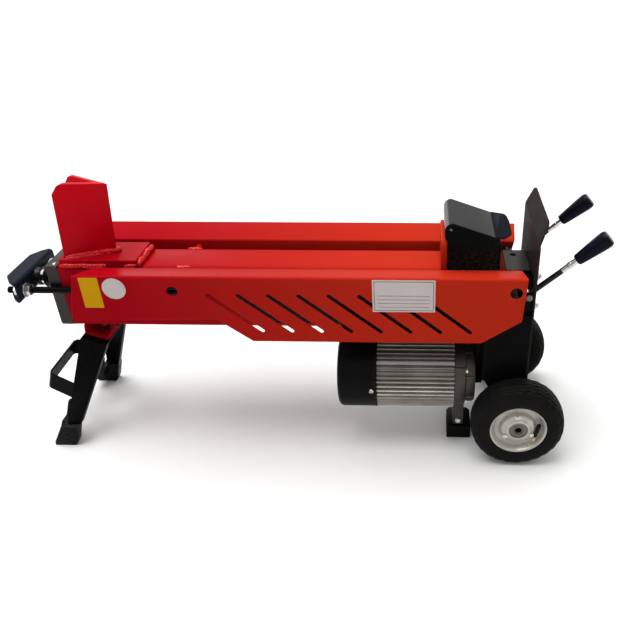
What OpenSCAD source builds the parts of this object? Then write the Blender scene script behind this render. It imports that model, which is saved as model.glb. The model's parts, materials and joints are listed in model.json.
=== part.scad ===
// Horizontal electric-hydraulic log splitter with a pulled ram.
// X runs along the beam (wedge end at -X), Y runs across it, Z is up, the floor is z = 0.
// Distances along the beam are given from the cutting edge of the wedge.

/* [Beam] */
// Width of the square-section oil beam
beam_w = 68; // [64:1:72]
// Height of the beam
beam_h = 111.5; // [100:0.5:115]
// Height of the underside of the beam above the floor
beam_z = 205; // [200:0.5:212]
// Wall thickness of the beam
beam_wall = 4; // [3:0.5:5]
// Cutting edge to the left end of the beam
beam_left = 86; // [82:1:90]
// Cutting edge to the right end of the beam
beam_right = 619; // [615:1:622]
// Thickness of the front cap
front_cap_l = 20; // [16:1:22]
// Length of the valve block at the pump end
valve_block_l = 39; // [36:1:39]

/* [Ram] */
// Clear length for a log between the wedge and the push plate
log_l = 518; // [500:1:520]
// Travel of the ram towards the wedge
ram_stroke = 390; // [300:5:390]
// Height of the cylinder axis above the floor
ram_z = 280; // [278:0.5:282]
// Height of the tie rods above the floor
tie_z = 278; // [276:0.5:280]
// Half of the distance between the tie rods
tie_y = 42; // [41.5:0.1:42.5]
// Diameter of the tie rods
tie_d = 11; // [10:0.5:12]
// Diameter of the piston rod
rod_d = 26; // [22:1:28]
// Bore of the cylinder
bore_d = 48; // [44:1:50]
// Outside diameter of the cylinder
tube_d = 57; // [54:1:58]
// Half width of the pusher
pusher_hw = 48.2; // [47.5:0.1:48.5]
// Length of the pusher along the beam
pusher_l = 80; // [70:1:82]
// Top of the pusher above the floor, at its front
pusher_top = 400; // [385:1:410]

/* [Wedge] */
// Height of the top of the cutting edge above the floor
wedge_top = 442; // [430:1:455]
// Length of the wedge wings along the beam
wedge_l = 76; // [70:1:76]
// Half width of the wedge at its open end
wedge_hw = 26; // [22:1:30]
// Forward lean of the wedge in degrees
wedge_lean = 5; // [0:0.5:7]
// Thickness of the plate under the wedge
base_t = 10.5; // [8:0.5:12]

/* [Side panels] */
// Distance from the middle of the beam to the outer skirt
panel_hw = 98.6; // [95:0.2:100]
// Distance from the middle of the beam to the inner lip
lip_hw = 49.7; // [49.5:0.1:50.5]
// Height of the outer bend above the floor
panel_top = 336; // [332:1:340]
// Height of the inner bend above the floor
lip_top = 324; // [320:1:328]
// Height of the skirt's lower edge beside the motor
skirt_low = 222; // [215:1:235]
// Height of the skirt's lower edge beside the leg
skirt_left = 258; // [240:1:265]
// Thickness of the sheet
sheet = 2; // [1.5:0.5:2.5]
// Number of slanted slots in each panel
slots = 8; // [4:1:8]
// Distance between the slots
slot_pitch = 45.4; // [44:0.2:47]

/* [Wheels and leg] */
// Radius of the wheels
wheel_r = 75.9; // [70:0.1:80]
// Distance from the middle of the machine to the middle of a tyre
wheel_y = 108; // [106:1:110]
// Cutting edge to the wheel axle
axle_x = 645.7; // [640:0.5:650]
// Diameter of the axle
axle_d = 15; // [12:1:16]
// Lean of the support leg in degrees
leg_lean = 19; // [15:0.5:22]

/* [Motor] */
// Sideways position of the motor axis, towards the near side
motor_y = 38; // [34:1:40]
// Height of the motor axis above the floor
motor_z = 127; // [122:1:130]
// Radius over the cooling fins
motor_r = 62; // [58:1:64]
// Number of cooling fins
fins = 48; // [24:1:48]

/* [Control levers] */
// Half of the distance between the levers
lever_y = 70; // [68:1:71]
// Height of the lever pivot above the floor
lever_z = 293.3; // [290:0.1:296]
// Angle of a released lever above the horizontal
lever_rise = 41.8; // [35:0.2:50]
// Length of a lever from its pivot to the end of its grip
lever_l = 146.5; // [130:0.5:150]

/* [Hidden] */
$fn = 64;
eps = 0.01;
fit = 0.05;
wedge_x = -298.8;
beam_top = beam_z + beam_h;
half_w = beam_w / 2;
cap_x = -beam_left - front_cap_l;
block_end = beam_right + valve_block_l;
plate_t = 3;
plate_x = block_end;
push_x = log_l;
push_t = 10;
frame_x = push_x + push_t;
yoke_x = -151;
yoke_web = 9;
yoke_hw = 62;
yoke_low = 264;
yoke_high = 300;
flange_t = 4;
yoke_tip = yoke_x - 19;
shoulder_x = -133;
nut_t = 9;
washer_t = 2.5;
base_top = beam_top + base_t;
wing_t = 8;
rim_r = 44.6;
bearing_r = 15.5;
bearing_w = 11;
hub_end = 24;
bracket_hw = 82;
bracket_x = 588;
motor_left = 353;
cover_right = 417;
fins_right = 543;
bell_flange = 561;
bell_right = 577;
pump_right = 640;
gear_gap = 22;
gear_x = 600;
gear_w = 18;
pivot_x = plate_x - 7;
arm_l = 25;
far_shift = 29.5;
far_x = pivot_x + far_shift * cos(lever_rise);
far_z = lever_z + far_shift * sin(lever_rise);
hub_r = 6.5;
ear_in = lever_y - 10;
ear_out = lever_y + 6.2;
ear_t = 2.6;
valve_end = 638;
spool_z = lever_z - arm_l;
spool_end = pivot_x - 4.5;
bolt_pos = [[117, 310], [629, 311]];
side_bolt_y = 53.5;
low_bolt_z = 264;
high_bolt_z = 316;
dome_r = 5;
block_bolt_y = [-25, 25];
block_bolt_z = [247, 299];
block_bolt_r = 4;
plug_pos = [beam_right + 17, 17];
plug_r = 4;
slot_high = 304;
slot_foot = 241.5;
slot_run = 76;
slot_r = 3.1;
first_slot = 169.6;
stand_off_r = 6.2;
panel_bolt_r = 4;
piston_x = ram_stroke - beam_left + 62;
piston_l = 26;
stud_r = 9;
dish_r = 37;
bead_r = 43;
core_r = 46;
shaft_r = 8;
seat_r = 17.5;
box_low = 232;
valve_low = 250;
body_high = 283;
body_y = 77;

// Everything is drawn from the cutting edge and moved to the middle of the machine
module placed() {
    translate([wedge_x, 0, 0]) children();
}

// Round bar along X from x0 to x1
module xcyl(x0, x1, r, y = 0, z = 0) {
    translate([x0, y, z]) rotate([0, 90, 0]) cylinder(h = x1 - x0, r = r);
}

// Round bar along Y from y0 to y1
module ycyl(y0, y1, r, x = 0, z = 0) {
    translate([x, y0, z]) rotate([-90, 0, 0]) cylinder(h = y1 - y0, r = r);
}

// Hexagon along X
module xhex(x0, x1, r, y = 0, z = 0) {
    translate([x0, y, z]) rotate([0, 90, 0]) cylinder(h = x1 - x0, r = r, $fn = 6);
}

// Hexagon along Y
module yhex(y0, y1, r, x = 0, z = 0) {
    translate([x, y0, z]) rotate([-90, 0, 0]) cylinder(h = y1 - y0, r = r, $fn = 6);
}

// Box from one corner to the other
module box(a, b) {
    translate(a) cube(b - a);
}

// Outline in X and Z, extruded along Y from y0 to y1
module side_profile(points, y0, y1) {
    translate([0, y1, 0]) rotate([90, 0, 0]) linear_extrude(y1 - y0) polygon(points);
}

// Outline in Y and Z, extruded along X from x0 to x1
module end_profile(points, x0, x1) {
    translate([x0, 0, 0]) rotate([90, 0, 90]) linear_extrude(x1 - x0) polygon(points);
}

// Both sides of the machine
module both_sides() {
    children();
    mirror([0, 1, 0]) children();
}

module main_beam() {
    color("firebrick") placed() {
        difference() {
            box([-beam_left, -half_w, beam_z], [beam_right, half_w, beam_top]);
            box([-beam_left - 1, -half_w + beam_wall, beam_z + beam_wall],
                [beam_right + 1, half_w - beam_wall, beam_top - beam_wall]);
        }
        both_sides() difference() {
            ycyl(half_w, lip_hw, stand_off_r, bolt_pos[0][0], bolt_pos[0][1]);
            ycyl(half_w - 1, lip_hw + 1, panel_bolt_r, bolt_pos[0][0], bolt_pos[0][1]);
        }
    }
}

module cylinder_tube() {
    color("dimgray") placed() difference() {
        xcyl(-beam_left, beam_right, tube_d / 2, 0, ram_z);
        xcyl(-beam_left - 1, beam_right + 1, bore_d / 2, 0, ram_z);
    }
}

module front_cap() {
    corner = 7;
    color("silver") placed() difference() {
        end_profile([[-half_w, beam_z + corner], [-half_w + corner, beam_z],
            [half_w - corner, beam_z], [half_w, beam_z + corner],
            [half_w, beam_top], [-half_w, beam_top]], cap_x, -beam_left);
        xcyl(cap_x - 1, -beam_left + 1, rod_d / 2 + fit, 0, ram_z);
    }
}

module gland_nut() {
    ring_w = 3;
    ring_pitch = 6;
    gland_l = 20;
    color("black") placed() difference() {
        union() {
            xcyl(cap_x - gland_l, cap_x, 16.5, 0, ram_z);
            for (x = [cap_x - gland_l + 1 : ring_pitch : cap_x - ring_w])
                xcyl(x, x + ring_w, 18, 0, ram_z);
        }
        xcyl(cap_x - gland_l - 1, cap_x + 1, rod_d / 2 + fit, 0, ram_z);
    }
}

module small_screws() {
    color("silver") placed() {
        for (y = [-24, 24], z = [beam_z + 12, beam_top - 10])
            difference() {
                xcyl(cap_x - 5, cap_x, 5, y, z);
                xhex(cap_x - 6, cap_x - 2, 2.6, y, z);
            }
        translate([-beam_left - 7, -26, beam_top]) cylinder(h = 2.5, r = 3.5);
        for (a = [0, 120, 240])
            translate([cover_right - 8, -motor_y, motor_z]) rotate([a, 0, 0])
                translate([0, -motor_r - 0.5, 0]) rotate([90, 0, 0]) cylinder(h = 2.2, r = 4);
    }
}

module valve_block() {
    color("lightgray") placed() difference() {
        union() {
            box([beam_right, -half_w, beam_z], [block_end, half_w, beam_top]);
            both_sides() ycyl(half_w - 1, lip_hw, stand_off_r, bolt_pos[1][0], bolt_pos[1][1]);
        }
        both_sides() ycyl(half_w - 10, lip_hw + 1, panel_bolt_r, bolt_pos[1][0], bolt_pos[1][1]);
        translate([plug_pos[0], plug_pos[1], beam_top - 22]) cylinder(h = 23, r = plug_r);
        for (y = block_bolt_y, z = block_bolt_z)
            xcyl(block_end - 20, block_end + 1, block_bolt_r, y, z);
    }
}

module oil_plug() {
    color("black") placed() translate([plug_pos[0], plug_pos[1], beam_top]) difference() {
        translate([0, 0, -16]) cylinder(h = 14.5, r = plug_r - fit);
        translate([0, 0, -6]) cylinder(h = 5, r = 2.2, $fn = 6);
    }
}

module wedge_base() {
    color("firebrick") placed() box([-82, -33, beam_top], [42, 33, base_top]);
}

// V in plan, open towards -X
module wedge_plan() {
    polygon([[0, 0], [-wedge_l, -wedge_hw], [-wedge_l, -wedge_hw + wing_t + 0.6],
        [-wing_t * 2.9, 0], [-wedge_l, wedge_hw - wing_t - 0.6], [-wedge_l, wedge_hw]]);
}

module splitting_wedge() {
    shift = tan(wedge_lean);
    rise = wedge_top - base_top;
    tail = wedge_l - 1;
    tip = shift * rise;
    color("firebrick") placed() intersection() {
        multmatrix([[1, 0, shift, -shift * base_top], [0, 1, 0, 0], [0, 0, 1, 0], [0, 0, 0, 1]])
            translate([0, 0, base_top]) linear_extrude(rise + 20) wedge_plan();
        side_profile([[-tail, base_top], [5, base_top], [tip + 5, wedge_top], [tip, wedge_top],
            [-tail + 24, wedge_top + 6.5], [-tail + 17, wedge_top + 4], [-tail + 8, wedge_top - 9]],
            -wedge_hw - 1, wedge_hw + 1);
    }
}

// Fillet weld along Y with its corner at the origin
module fillet(leg, run) {
    rotate([90, 0, 0]) linear_extrude(run, center = true) polygon([[0, 0], [leg, 0], [0, leg]]);
}

module weld_beads() {
    wing_a = atan(wedge_hw / wedge_l);
    color("firebrick") placed() {
        translate([42, 0, beam_top]) fillet(8, 60);
        both_sides() translate([0, 0.5, base_top]) rotate([0, 0, 180 - wing_a])
            translate([wedge_l / 2, 0.2, 0]) rotate([0, 0, -90]) fillet(6, wedge_l - 8);
    }
}

// Slanted slot with round ends, drawn in X and Z
module slot_shape(x) {
    top = [x, slot_high];
    low = [x + slot_run, slot_foot];
    run = low - top;
    translate(top) rotate(atan2(run[1], run[0])) translate([0, -slot_r]) square([norm(run), 2 * slot_r]);
    translate(top) circle(slot_r);
    translate(low) circle(slot_r);
}

// Folded side panel on the +Y side: outer skirt, sloping top and inner lip
module side_panel(corner) {
    lip_low = 300;
    difference() {
        intersection() {
            end_profile([[panel_hw, skirt_low], [panel_hw, panel_top], [lip_hw, lip_top],
                [lip_hw, lip_low], [lip_hw + sheet, lip_low], [lip_hw + sheet, lip_top - 1.6],
                [panel_hw - sheet, panel_top - 2.5], [panel_hw - sheet, skirt_low]], -60, 650);
            side_profile([[corner, panel_top + 1], [-47, skirt_left], [178, skirt_left + 2.8],
                [229, skirt_low], [581, skirt_low], [640.6, skirt_low + 40],
                [645, panel_top + 1]], lip_hw - 1, panel_hw + 1);
            linear_extrude(400) polygon([[-60, panel_hw + 1], [corner, panel_hw + 1],
                [corner + 11, lip_hw - 1], [638, lip_hw - 1], [645, lip_hw + 9], [646, panel_hw + 1],
                [-60, panel_hw + 1]]);
        }
        translate([0, panel_hw + 1, 0]) rotate([90, 0, 0]) linear_extrude(6) {
            for (i = [0 : slots - 1]) slot_shape(first_slot + i * slot_pitch);
            translate(bolt_pos[0]) circle(8.5);
            translate(bolt_pos[1]) circle(9.2);
        }
        for (p = bolt_pos) ycyl(lip_hw - 2, lip_hw + sheet + 2, 4.3, p[0], p[1]);
    }
}

module side_panel_near() {
    color("firebrick") placed() mirror([0, 1, 0]) side_panel(-29);
}

module side_panel_far() {
    color("firebrick") placed() side_panel(-46);
}

// Bolts of the side panels and of the leg
module frame_bolts() {
    face = lip_hw + sheet;
    washer = 1.6;
    color("silver") placed() {
        both_sides() for (p = bolt_pos) {
            ycyl(half_w + 2, face + 1, panel_bolt_r - fit, p[0], p[1]);
            ycyl(face, face + washer, 7.5, p[0], p[1]);
            yhex(face + washer, face + 7, 7.3, p[0], p[1]);
        }
        leg_frame() {
            translate([0, 0, -leg_t - 1]) cylinder(h = 14, r = 4);
            translate([0, 0, 3]) cylinder(h = 7, r = 8, $fn = 6);
            translate([0, 0, -leg_t - 7]) cylinder(h = 7, r = 8, $fn = 6);
        }
    }
}

// Guard plate behind the valve block, its top leaning away
module end_plate() {
    low = 120;
    bend = 379;
    high = 409;
    lean = 12.7;
    color("black") placed() difference() {
        intersection() {
            side_profile([[plate_x, low], [plate_x + plate_t, low], [plate_x + plate_t, bend],
                [plate_x + plate_t + lean, high], [plate_x + lean, high + 1], [plate_x, bend + 1]],
                -bracket_hw - 1, bracket_hw + 1);
            end_profile([[-bracket_hw, low - 1], [bracket_hw, low - 1], [bracket_hw, 385],
                [79, 399], [74, high - 1.5], [68, high + 0.5], [-60, high + 0.5], [-65, high - 3],
                [-bracket_hw, 371]], plate_x - 1, plate_x + 20);
        }
        box([plate_x - 1, -lever_y - 6, lever_z - 4], [plate_x + plate_t + 1, 6 - lever_y, lever_z + 18]);
        both_sides() for (z = [low_bolt_z, high_bolt_z])
            xcyl(plate_x - 1, plate_x + plate_t + 1, 3.2, side_bolt_y, z);
        for (y = block_bolt_y, z = block_bolt_z)
            xcyl(plate_x - 1, plate_x + plate_t + 1, block_bolt_r + 0.3, y, z);
    }
}

// Two side plates joined by a rear web, with a narrow flange along their front edges
module wheel_bracket() {
    high = 290;
    step = 264;
    color("black") placed() difference() {
        union() {
            both_sides() side_profile([[bracket_x, high], [600, high], [606, step], [plate_x, step],
                [plate_x, 58],
                [632, 58], [601, 121], [bracket_x, 141]], bracket_hw - plate_t, bracket_hw);
            both_sides() box([bracket_x, bracket_hw - 14, 141],
                [bracket_x + plate_t, bracket_hw - plate_t + eps, high]);
            box([plate_x - plate_t, -bracket_hw + 1, 96], [plate_x, bracket_hw - 1, beam_z - 0.5]);
        }
        ycyl(-bracket_hw - 1, bracket_hw + 1, axle_d / 2 + fit, axle_x, wheel_r);
    }
}

module plate_bolts() {
    face = plate_x + plate_t;
    color("silver") placed() {
        for (y = block_bolt_y, z = block_bolt_z) {
            xcyl(block_end - 19, face + 10, block_bolt_r - fit, y, z);
            xcyl(face, face + 1.8, 8, y, z);
            xhex(face + 1.8, face + 8, 7.4, y, z);
        }
        both_sides() for (b = [[valve_end - 12, low_bolt_z], [plate_x - 6, high_bolt_z]]) {
            xcyl(b[0], face + 9, 2.95, side_bolt_y, b[1]);
            xcyl(face, face + 11, dome_r, side_bolt_y, b[1]);
        }
    }
}

module wheel_axle() {
    end_y = wheel_y + 23;
    color("dimgray") placed() difference() {
        ycyl(-end_y, end_y, axle_d / 2, axle_x, wheel_r);
        both_sides() ycyl(end_y - 2, end_y + 1, 3, axle_x, wheel_r);
    }
}

module axle_clips() {
    color("silver") placed() both_sides() difference() {
        ycyl(bracket_hw, bracket_hw + 1, 11, axle_x, wheel_r);
        ycyl(bracket_hw - 1, bracket_hw + 2, axle_d / 2, axle_x, wheel_r);
    }
}

// Wheel drawn along +Z and turned to face out along +Y
module on_axle() {
    translate([axle_x, wheel_y, wheel_r]) rotate([-90, 0, 0]) children();
}

module tyre() {
    half = [[bead_r, 19.5], [45.2, 19.5], [45.2, 23.8], [50, 24.8], [57, 25], [64, 24], [70, 21],
        [74, 15.5], [wheel_r, 8]];
    on_axle() rotate_extrude()
        polygon(concat(half, [for (i = [len(half) - 1 : -1 : 0]) [half[i][0], -half[i][1]]]));
}

module rim() {
    seat_z = hub_end - bearing_w;
    on_axle() rotate_extrude() polygon([[42.6, 23.7], [rim_r, 23.7], [rim_r, 21], [bead_r, 19.5],
        [bead_r, -19.5], [rim_r, -21], [rim_r, -23.7], [40, -23.7], [40, 9], [28, 11], [20, 15],
        [20, -hub_end], [bearing_r, -hub_end], [bearing_r, bearing_w - hub_end],
        [12, bearing_w - hub_end], [12, seat_z], [bearing_r, seat_z], [bearing_r, hub_end],
        [18, hub_end], [21, 25], [29, 15], [dish_r, 12], [40.6, 17]]);
}

module bearings() {
    on_axle() for (z = [-hub_end, hub_end - bearing_w])
        translate([0, 0, z]) rotate_extrude() difference() {
            translate([axle_d / 2 + fit, 0]) square([bearing_r - axle_d / 2 - fit, bearing_w]);
            translate([10, bearing_w - 0.8]) square([3, 2]);
            translate([10, -1]) square([3, 1.8]);
        }
}

module valve_stem() {
    neck = 9;
    on_axle() translate([25.5, -22.5, 21]) rotate([0, 0, 77]) rotate([0, 90, 0]) {
        cylinder(h = neck, r = 2.4);
        translate([0, 0, neck - eps]) cylinder(h = 25, r = 3.6);
    }
}

module tyre_far() {
    color("dimgray") placed() tyre();
}

module tyre_near() {
    color("dimgray") placed() mirror([0, 1, 0]) tyre();
}

module rim_far() {
    color("whitesmoke") placed() rim();
}

module rim_near() {
    color("whitesmoke") placed() mirror([0, 1, 0]) rim();
}

module bearings_far() {
    color("silver") placed() bearings();
}

module bearings_near() {
    color("silver") placed() mirror([0, 1, 0]) bearings();
}

module valve_stem_far() {
    color("black") placed() valve_stem();
}

module valve_stem_near() {
    color("black") placed() mirror([0, 1, 0]) valve_stem();
}

// Frame of the leaning leg: its origin is the middle of its top plate
leg_top = [-54.6, 181.2];
leg_t = 3;
leg_drop = 172;
module leg_frame() {
    translate([leg_top[0], 0, leg_top[1]]) rotate([0, leg_lean, 0]) children();
}

// Point u along and w above the sloping top of the leg, in X and Z
function on_leg(u, w) = leg_top
    + [u * cos(leg_lean) + w * sin(leg_lean), w * cos(leg_lean) - u * sin(leg_lean)];

module leg_bracket() {
    inner = [[-68, beam_z + 1], on_leg(-16.5, 3), on_leg(15, 3), [-16.5, beam_z + 1]];
    outer = [[-71, beam_z], on_leg(-19.4, 0), on_leg(19.4, 0), [-12, beam_z]];
    color("firebrick") placed() difference() {
        side_profile(outer, -32, 32);
        side_profile(inner, -33, 33);
        leg_frame() translate([0, 0, -5]) cylinder(h = 12, r = 4.3);
    }
}

// Outline of one leg plate, seen along Y, less a margin all round
module leg_outline(margin) {
    polygon([[-21.5 + margin, -margin], [21.5 - margin, -margin], [8 - margin, -leg_drop - 20],
        [-8 + margin, -leg_drop - 20]]);
}

module leg_solid() {
    splay = 16.5;
    top_hw = 46;
    depth = 12;
    intersection() {
        leg_frame() {
            difference() {
                box([-21, -top_hw + 1, -leg_t], [21, top_hw - 1, 0]);
                translate([0, 0, -5]) cylinder(h = 10, r = 4.3);
            }
            both_sides() translate([0, top_hw, 0]) rotate([90 + splay, 0, 0]) difference() {
                linear_extrude(depth) leg_outline(0);
                translate([0, 0, leg_t]) linear_extrude(depth) leg_outline(leg_t);
            }
        }
        box([-200, -120, 40], [50, 120, 240]);
    }
}

module support_leg() {
    color("black") placed() leg_solid();
}

module foot_caps() {
    color("black") placed() both_sides() {
        side_profile([[-142, 0], [-106, 0], [-102, 8], [-93, 40], [-123, 40], [-141, 7]], 82, 98);
        side_profile([[-136, 20], [-119, 20], [-114, 40], [-128, 40]], 60, 82 + eps);
        side_profile([[-128, 40 - eps], [-114, 40 - eps], [-106, 69], [-118, 69]], 57, 64);
    }
}

module carry_handle() {
    reach = 65;
    strip = 32;
    t = 3;
    level = -119;
    color("black") placed() difference() {
        leg_frame() translate([0, 0, level]) linear_extrude(strip) {
            both_sides() polygon([[-reach + t, 50 - t], [-13.5, 61.5], [-13.5, 64.8], [-reach, 53 - t]]);
            translate([-reach, -50]) square([t, 100]);
        }
        leg_solid();
    }
}

module motor_housing() {
    root_r = motor_r - 7;
    color("lightgray") placed() translate([0, -motor_y, motor_z]) {
        translate([cover_right, 0, 0]) rotate([0, 90, 0]) linear_extrude(fins_right - cover_right)
            difference() {
                union() {
                    circle(root_r);
                    for (i = [0 : fins - 1]) rotate(i * 360 / fins)
                        translate([root_r - 2, -1.1]) square([9, 2.2]);
                }
                circle(core_r);
            }
        difference() {
            xcyl(cover_right, cover_right + 14, core_r + eps);
            xcyl(cover_right - 1, cover_right + 15, seat_r);
        }
    }
}

module stator() {
    color("peru") placed() translate([0, -motor_y, motor_z]) difference() {
        xcyl(440, 528, core_r);
        xcyl(439, 529, 30);
    }
}

module fan_cover() {
    wall = 2;
    reach = cover_right - motor_left;
    corner = 9;
    arc = [for (a = [0 : 15 : 90])
        [motor_r + 0.5 - corner + corner * cos(a), reach - corner + corner * sin(a)]];
    color("black") placed() translate([cover_right, -motor_y, motor_z]) rotate([0, -90, 0])
        difference() {
            rotate_extrude() polygon(concat([[0, 0], [motor_r + 0.5, 0]], arc, [[0, reach]]));
            translate([0, 0, -1]) cylinder(h = reach - wall + 1, r = motor_r - wall);
            for (i = [0 : 11]) rotate(i * 30)
                translate([16, -2.5, reach - 10]) cube([32, 5, 12]);
        }
}

module bell_housing() {
    color("gray") placed() difference() {
        union() {
            xcyl(fins_right, bell_flange, 57, -motor_y, motor_z);
            xcyl(bell_flange - eps, bell_right, 52, -motor_y, motor_z);
            box([fins_right + 1, -62, 26], [fins_right + 19, -18, motor_z - 20]);
        }
        xcyl(fins_right - 1, fins_right + 10, core_r, -motor_y, motor_z);
        xcyl(fins_right, bell_right - 2, seat_r, -motor_y, motor_z);
        xcyl(fins_right, bell_right + 1, 9, -motor_y, motor_z);
    }
}

module motor_foot() {
    color("black") placed() linear_extrude(26)
        polygon([[534, -66], [575, -66], [575, -22], [570, -15], [539, -15], [534, -22]]);
}

module motor_bearings() {
    color("silver") placed() for (x = [cover_right + 1, bell_right - 14]) difference() {
        xcyl(x, x + 12, seat_r, -motor_y, motor_z);
        xcyl(x - 1, x + 13, shaft_r + fit, -motor_y, motor_z);
    }
}

// Box for the run capacitor, on two studs inside the near side panel
module capacitor_box() {
    left = 366;
    length = 200;
    stud_z = 285;
    near = panel_hw - sheet;
    color("black") placed() mirror([0, 1, 0]) {
        box([left, 52, 226], [left + length, near - 5, 294]);
        for (x = [left + 122, left + 170])
            ycyl(near - 5 - eps, near, 5, x, stud_z);
    }
}

module pump_housing() {
    color("black") placed() difference() {
        union() {
            box([bell_right, -62, 113], [590, -14, beam_z]);
            box([590 - eps, -58, 113], [pump_right, -18, beam_z]);
        }
        xcyl(bell_right - 1, pump_right - 8, shaft_r + 0.1, -motor_y, motor_z);
        xcyl(gear_x, gear_x + gear_w + 1, 12.6, -motor_y, motor_z);
        xcyl(gear_x, gear_x + gear_w + 1, 12.6, -motor_y, motor_z + gear_gap);
        xcyl(gear_x - 6, gear_x + gear_w + 6, 5 + fit, -motor_y, motor_z + gear_gap);
    }
}

module control_valve() {
    color("lightgray") placed() difference() {
        box([612, -body_y, valve_low], [valve_end, -half_w, body_high]);
        xcyl(611, valve_end + 1, 6 + fit, -lever_y + 2, spool_z);
        xcyl(valve_end - 14, valve_end + 1, 3, -side_bolt_y, low_bolt_z);
        box([611, -38, 270], [613, -half_w + 1, 290]);
    }
}

module switch_box() {
    color("black") placed() difference() {
        union() {
            box([612, half_w, box_low], [valve_end, body_y, body_high]);
            box([609.5, half_w + 2, box_low + 3], [612 + eps, body_y - 2, body_high - 3]);
        }
        xcyl(valve_end - 14, valve_end + 1, 3, side_bolt_y, low_bolt_z);
    }
}

module cable_gland() {
    color("black") placed() translate([624, 56, box_low]) difference() {
        union() {
            translate([0, 0, -10]) cylinder(h = 10, r = 11, $fn = 6);
            translate([0, 0, -22]) cylinder(h = 12 + eps, r1 = 7, r2 = 9);
        }
        translate([0, 0, -23]) cylinder(h = 16, r = 4);
    }
}

// Two ears on the end plate with the near lever's pin; the inner one has a tab for bolts
module inside_clevis() {
    ear = [[plate_x, lever_z - 10], [plate_x, lever_z + 10], [pivot_x - 2, lever_z + 8.5],
        [pivot_x - 8, lever_z + 3], [pivot_x - 8, lever_z - 3], [pivot_x - 2, lever_z - 8.5]];
    cheek = [[plate_x, lever_z - 27], [plate_x, lever_z + 10], [pivot_x - 2, lever_z + 8.5],
        [pivot_x - 8, lever_z + 3], [pivot_x - 12, lever_z - 10], [pivot_x - 12, lever_z - 27]];
    side_profile(ear, ear_in, ear_in + ear_t);
    side_profile(cheek, ear_out, ear_out + ear_t);
    difference() {
        box([plate_x - 2, side_bolt_y - 6, low_bolt_z - 6], [plate_x, ear_in + eps, high_bolt_z + 6]);
        for (z = [low_bolt_z, high_bolt_z])
            xcyl(plate_x - 3, plate_x + 1, 3.2, side_bolt_y, z);
    }
    clevis_pin(pivot_x, lever_z);
}

// Two ears on the outside of the end plate with the far lever's pin
module outside_clevis() {
    face = plate_x + plate_t;
    ear = [[face, far_z - 12], [far_x + 3, far_z - 9], [far_x + 8, far_z - 3], [far_x + 8, far_z + 3],
        [far_x + 3, far_z + 9], [face, far_z + 12]];
    for (y = [ear_in, ear_out]) side_profile(ear, y, y + ear_t);
    clevis_pin(far_x, far_z);
}

module clevis_pin(x, z) {
    ycyl(ear_in - 1, ear_out + ear_t + eps, 3.5, x, z);
    yhex(ear_out + ear_t, ear_out + ear_t + 3, 6, x, z);
}

module lever_clevis() {
    color("silver") placed() {
        mirror([0, 1, 0]) inside_clevis();
        outside_clevis();
    }
}

module rotor_shaft() {
    color("silver") placed() xcyl(360, pump_right - 10, shaft_r, -motor_y, motor_z);
}

module rotor_core() {
    color("gray") placed() difference() {
        xcyl(442, 526, 29.6, -motor_y, motor_z);
        xcyl(441, 527, shaft_r, -motor_y, motor_z);
    }
}

module cooling_fan() {
    blades = 8;
    color("black") placed() translate([366, -motor_y, motor_z]) rotate([0, 90, 0]) difference() {
        union() {
            cylinder(h = 24, r = 14);
            cylinder(h = 3, r = 50);
            for (i = [0 : blades - 1]) rotate(i * 360 / blades)
                translate([10, -1.2, 0]) cube([42, 2.4, 22]);
        }
        translate([0, 0, -1]) cylinder(h = 26, r = shaft_r);
    }
}

// Pump gear with widely spaced teeth
module pump_gear(bore, turn) {
    teeth = 8;
    linear_extrude(gear_w - 0.6) difference() {
        union() {
            circle(9.4);
            for (i = [0 : teeth - 1]) rotate(turn + i * 360 / teeth)
                polygon([[9, -1.9], [12.4, -0.9], [12.4, 0.9], [9, 1.9]]);
        }
        circle(bore);
    }
}

module drive_gear() {
    color("silver") placed() translate([gear_x + 0.4, -motor_y, motor_z]) rotate([0, 90, 0])
        pump_gear(shaft_r, 0);
}

module driven_gear() {
    color("silver") placed() translate([gear_x + 0.4, -motor_y, motor_z + gear_gap])
        rotate([0, 90, 0]) {
            pump_gear(4.9, 22.5);
            translate([0, 0, -5]) cylinder(h = gear_w + 9, r = 5);
        }
}

module piston() {
    color("silver") placed() difference() {
        xcyl(piston_x, piston_x + piston_l, bore_d / 2 - fit, 0, ram_z);
        xcyl(piston_x - 1, piston_x + piston_l + 1, stud_r, 0, ram_z);
        for (dx = [6, 17]) difference() {
            xcyl(piston_x + dx, piston_x + dx + 3, bore_d / 2 + 1, 0, ram_z);
            xcyl(piston_x + dx - 1, piston_x + dx + 4, bore_d / 2 - 2.5, 0, ram_z);
        }
    }
}

module piston_rod() {
    color("silver") placed() {
        xcyl(shoulder_x, piston_x, rod_d / 2, 0, ram_z);
        xcyl(yoke_x - 13, shoulder_x + eps, stud_r, 0, ram_z);
        xcyl(piston_x - eps, piston_x + 34, stud_r, 0, ram_z);
    }
}

module ram_nuts() {
    outer_x = yoke_x - washer_t;
    inner_x = yoke_x + yoke_web;
    color("silver") placed() {
        both_sides() difference() {
            union() {
                xcyl(outer_x, yoke_x, 9.8, tie_y, tie_z);
                xhex(outer_x - nut_t, outer_x, 9.2, tie_y, tie_z);
                xcyl(inner_x, inner_x + washer_t, 12, tie_y, tie_z);
                xhex(inner_x + washer_t, inner_x + washer_t + nut_t, 9.2, tie_y, tie_z);
            }
            xcyl(outer_x - nut_t - 1, inner_x + nut_t + 5, tie_d / 2, tie_y, tie_z);
        }
        difference() {
            union() {
                xhex(yoke_x - 11, yoke_x, 11.8, 0, ram_z);
                xcyl(inner_x, shoulder_x, 15, 0, ram_z);
            }
            xcyl(yoke_x - 12, shoulder_x + 1, stud_r, 0, ram_z);
        }
        translate([piston_x + piston_l, 0, 0]) difference() {
            xhex(0, 8, 14, 0, ram_z);
            xcyl(-1, 9, stud_r, 0, ram_z);
        }
    }
}

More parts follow.
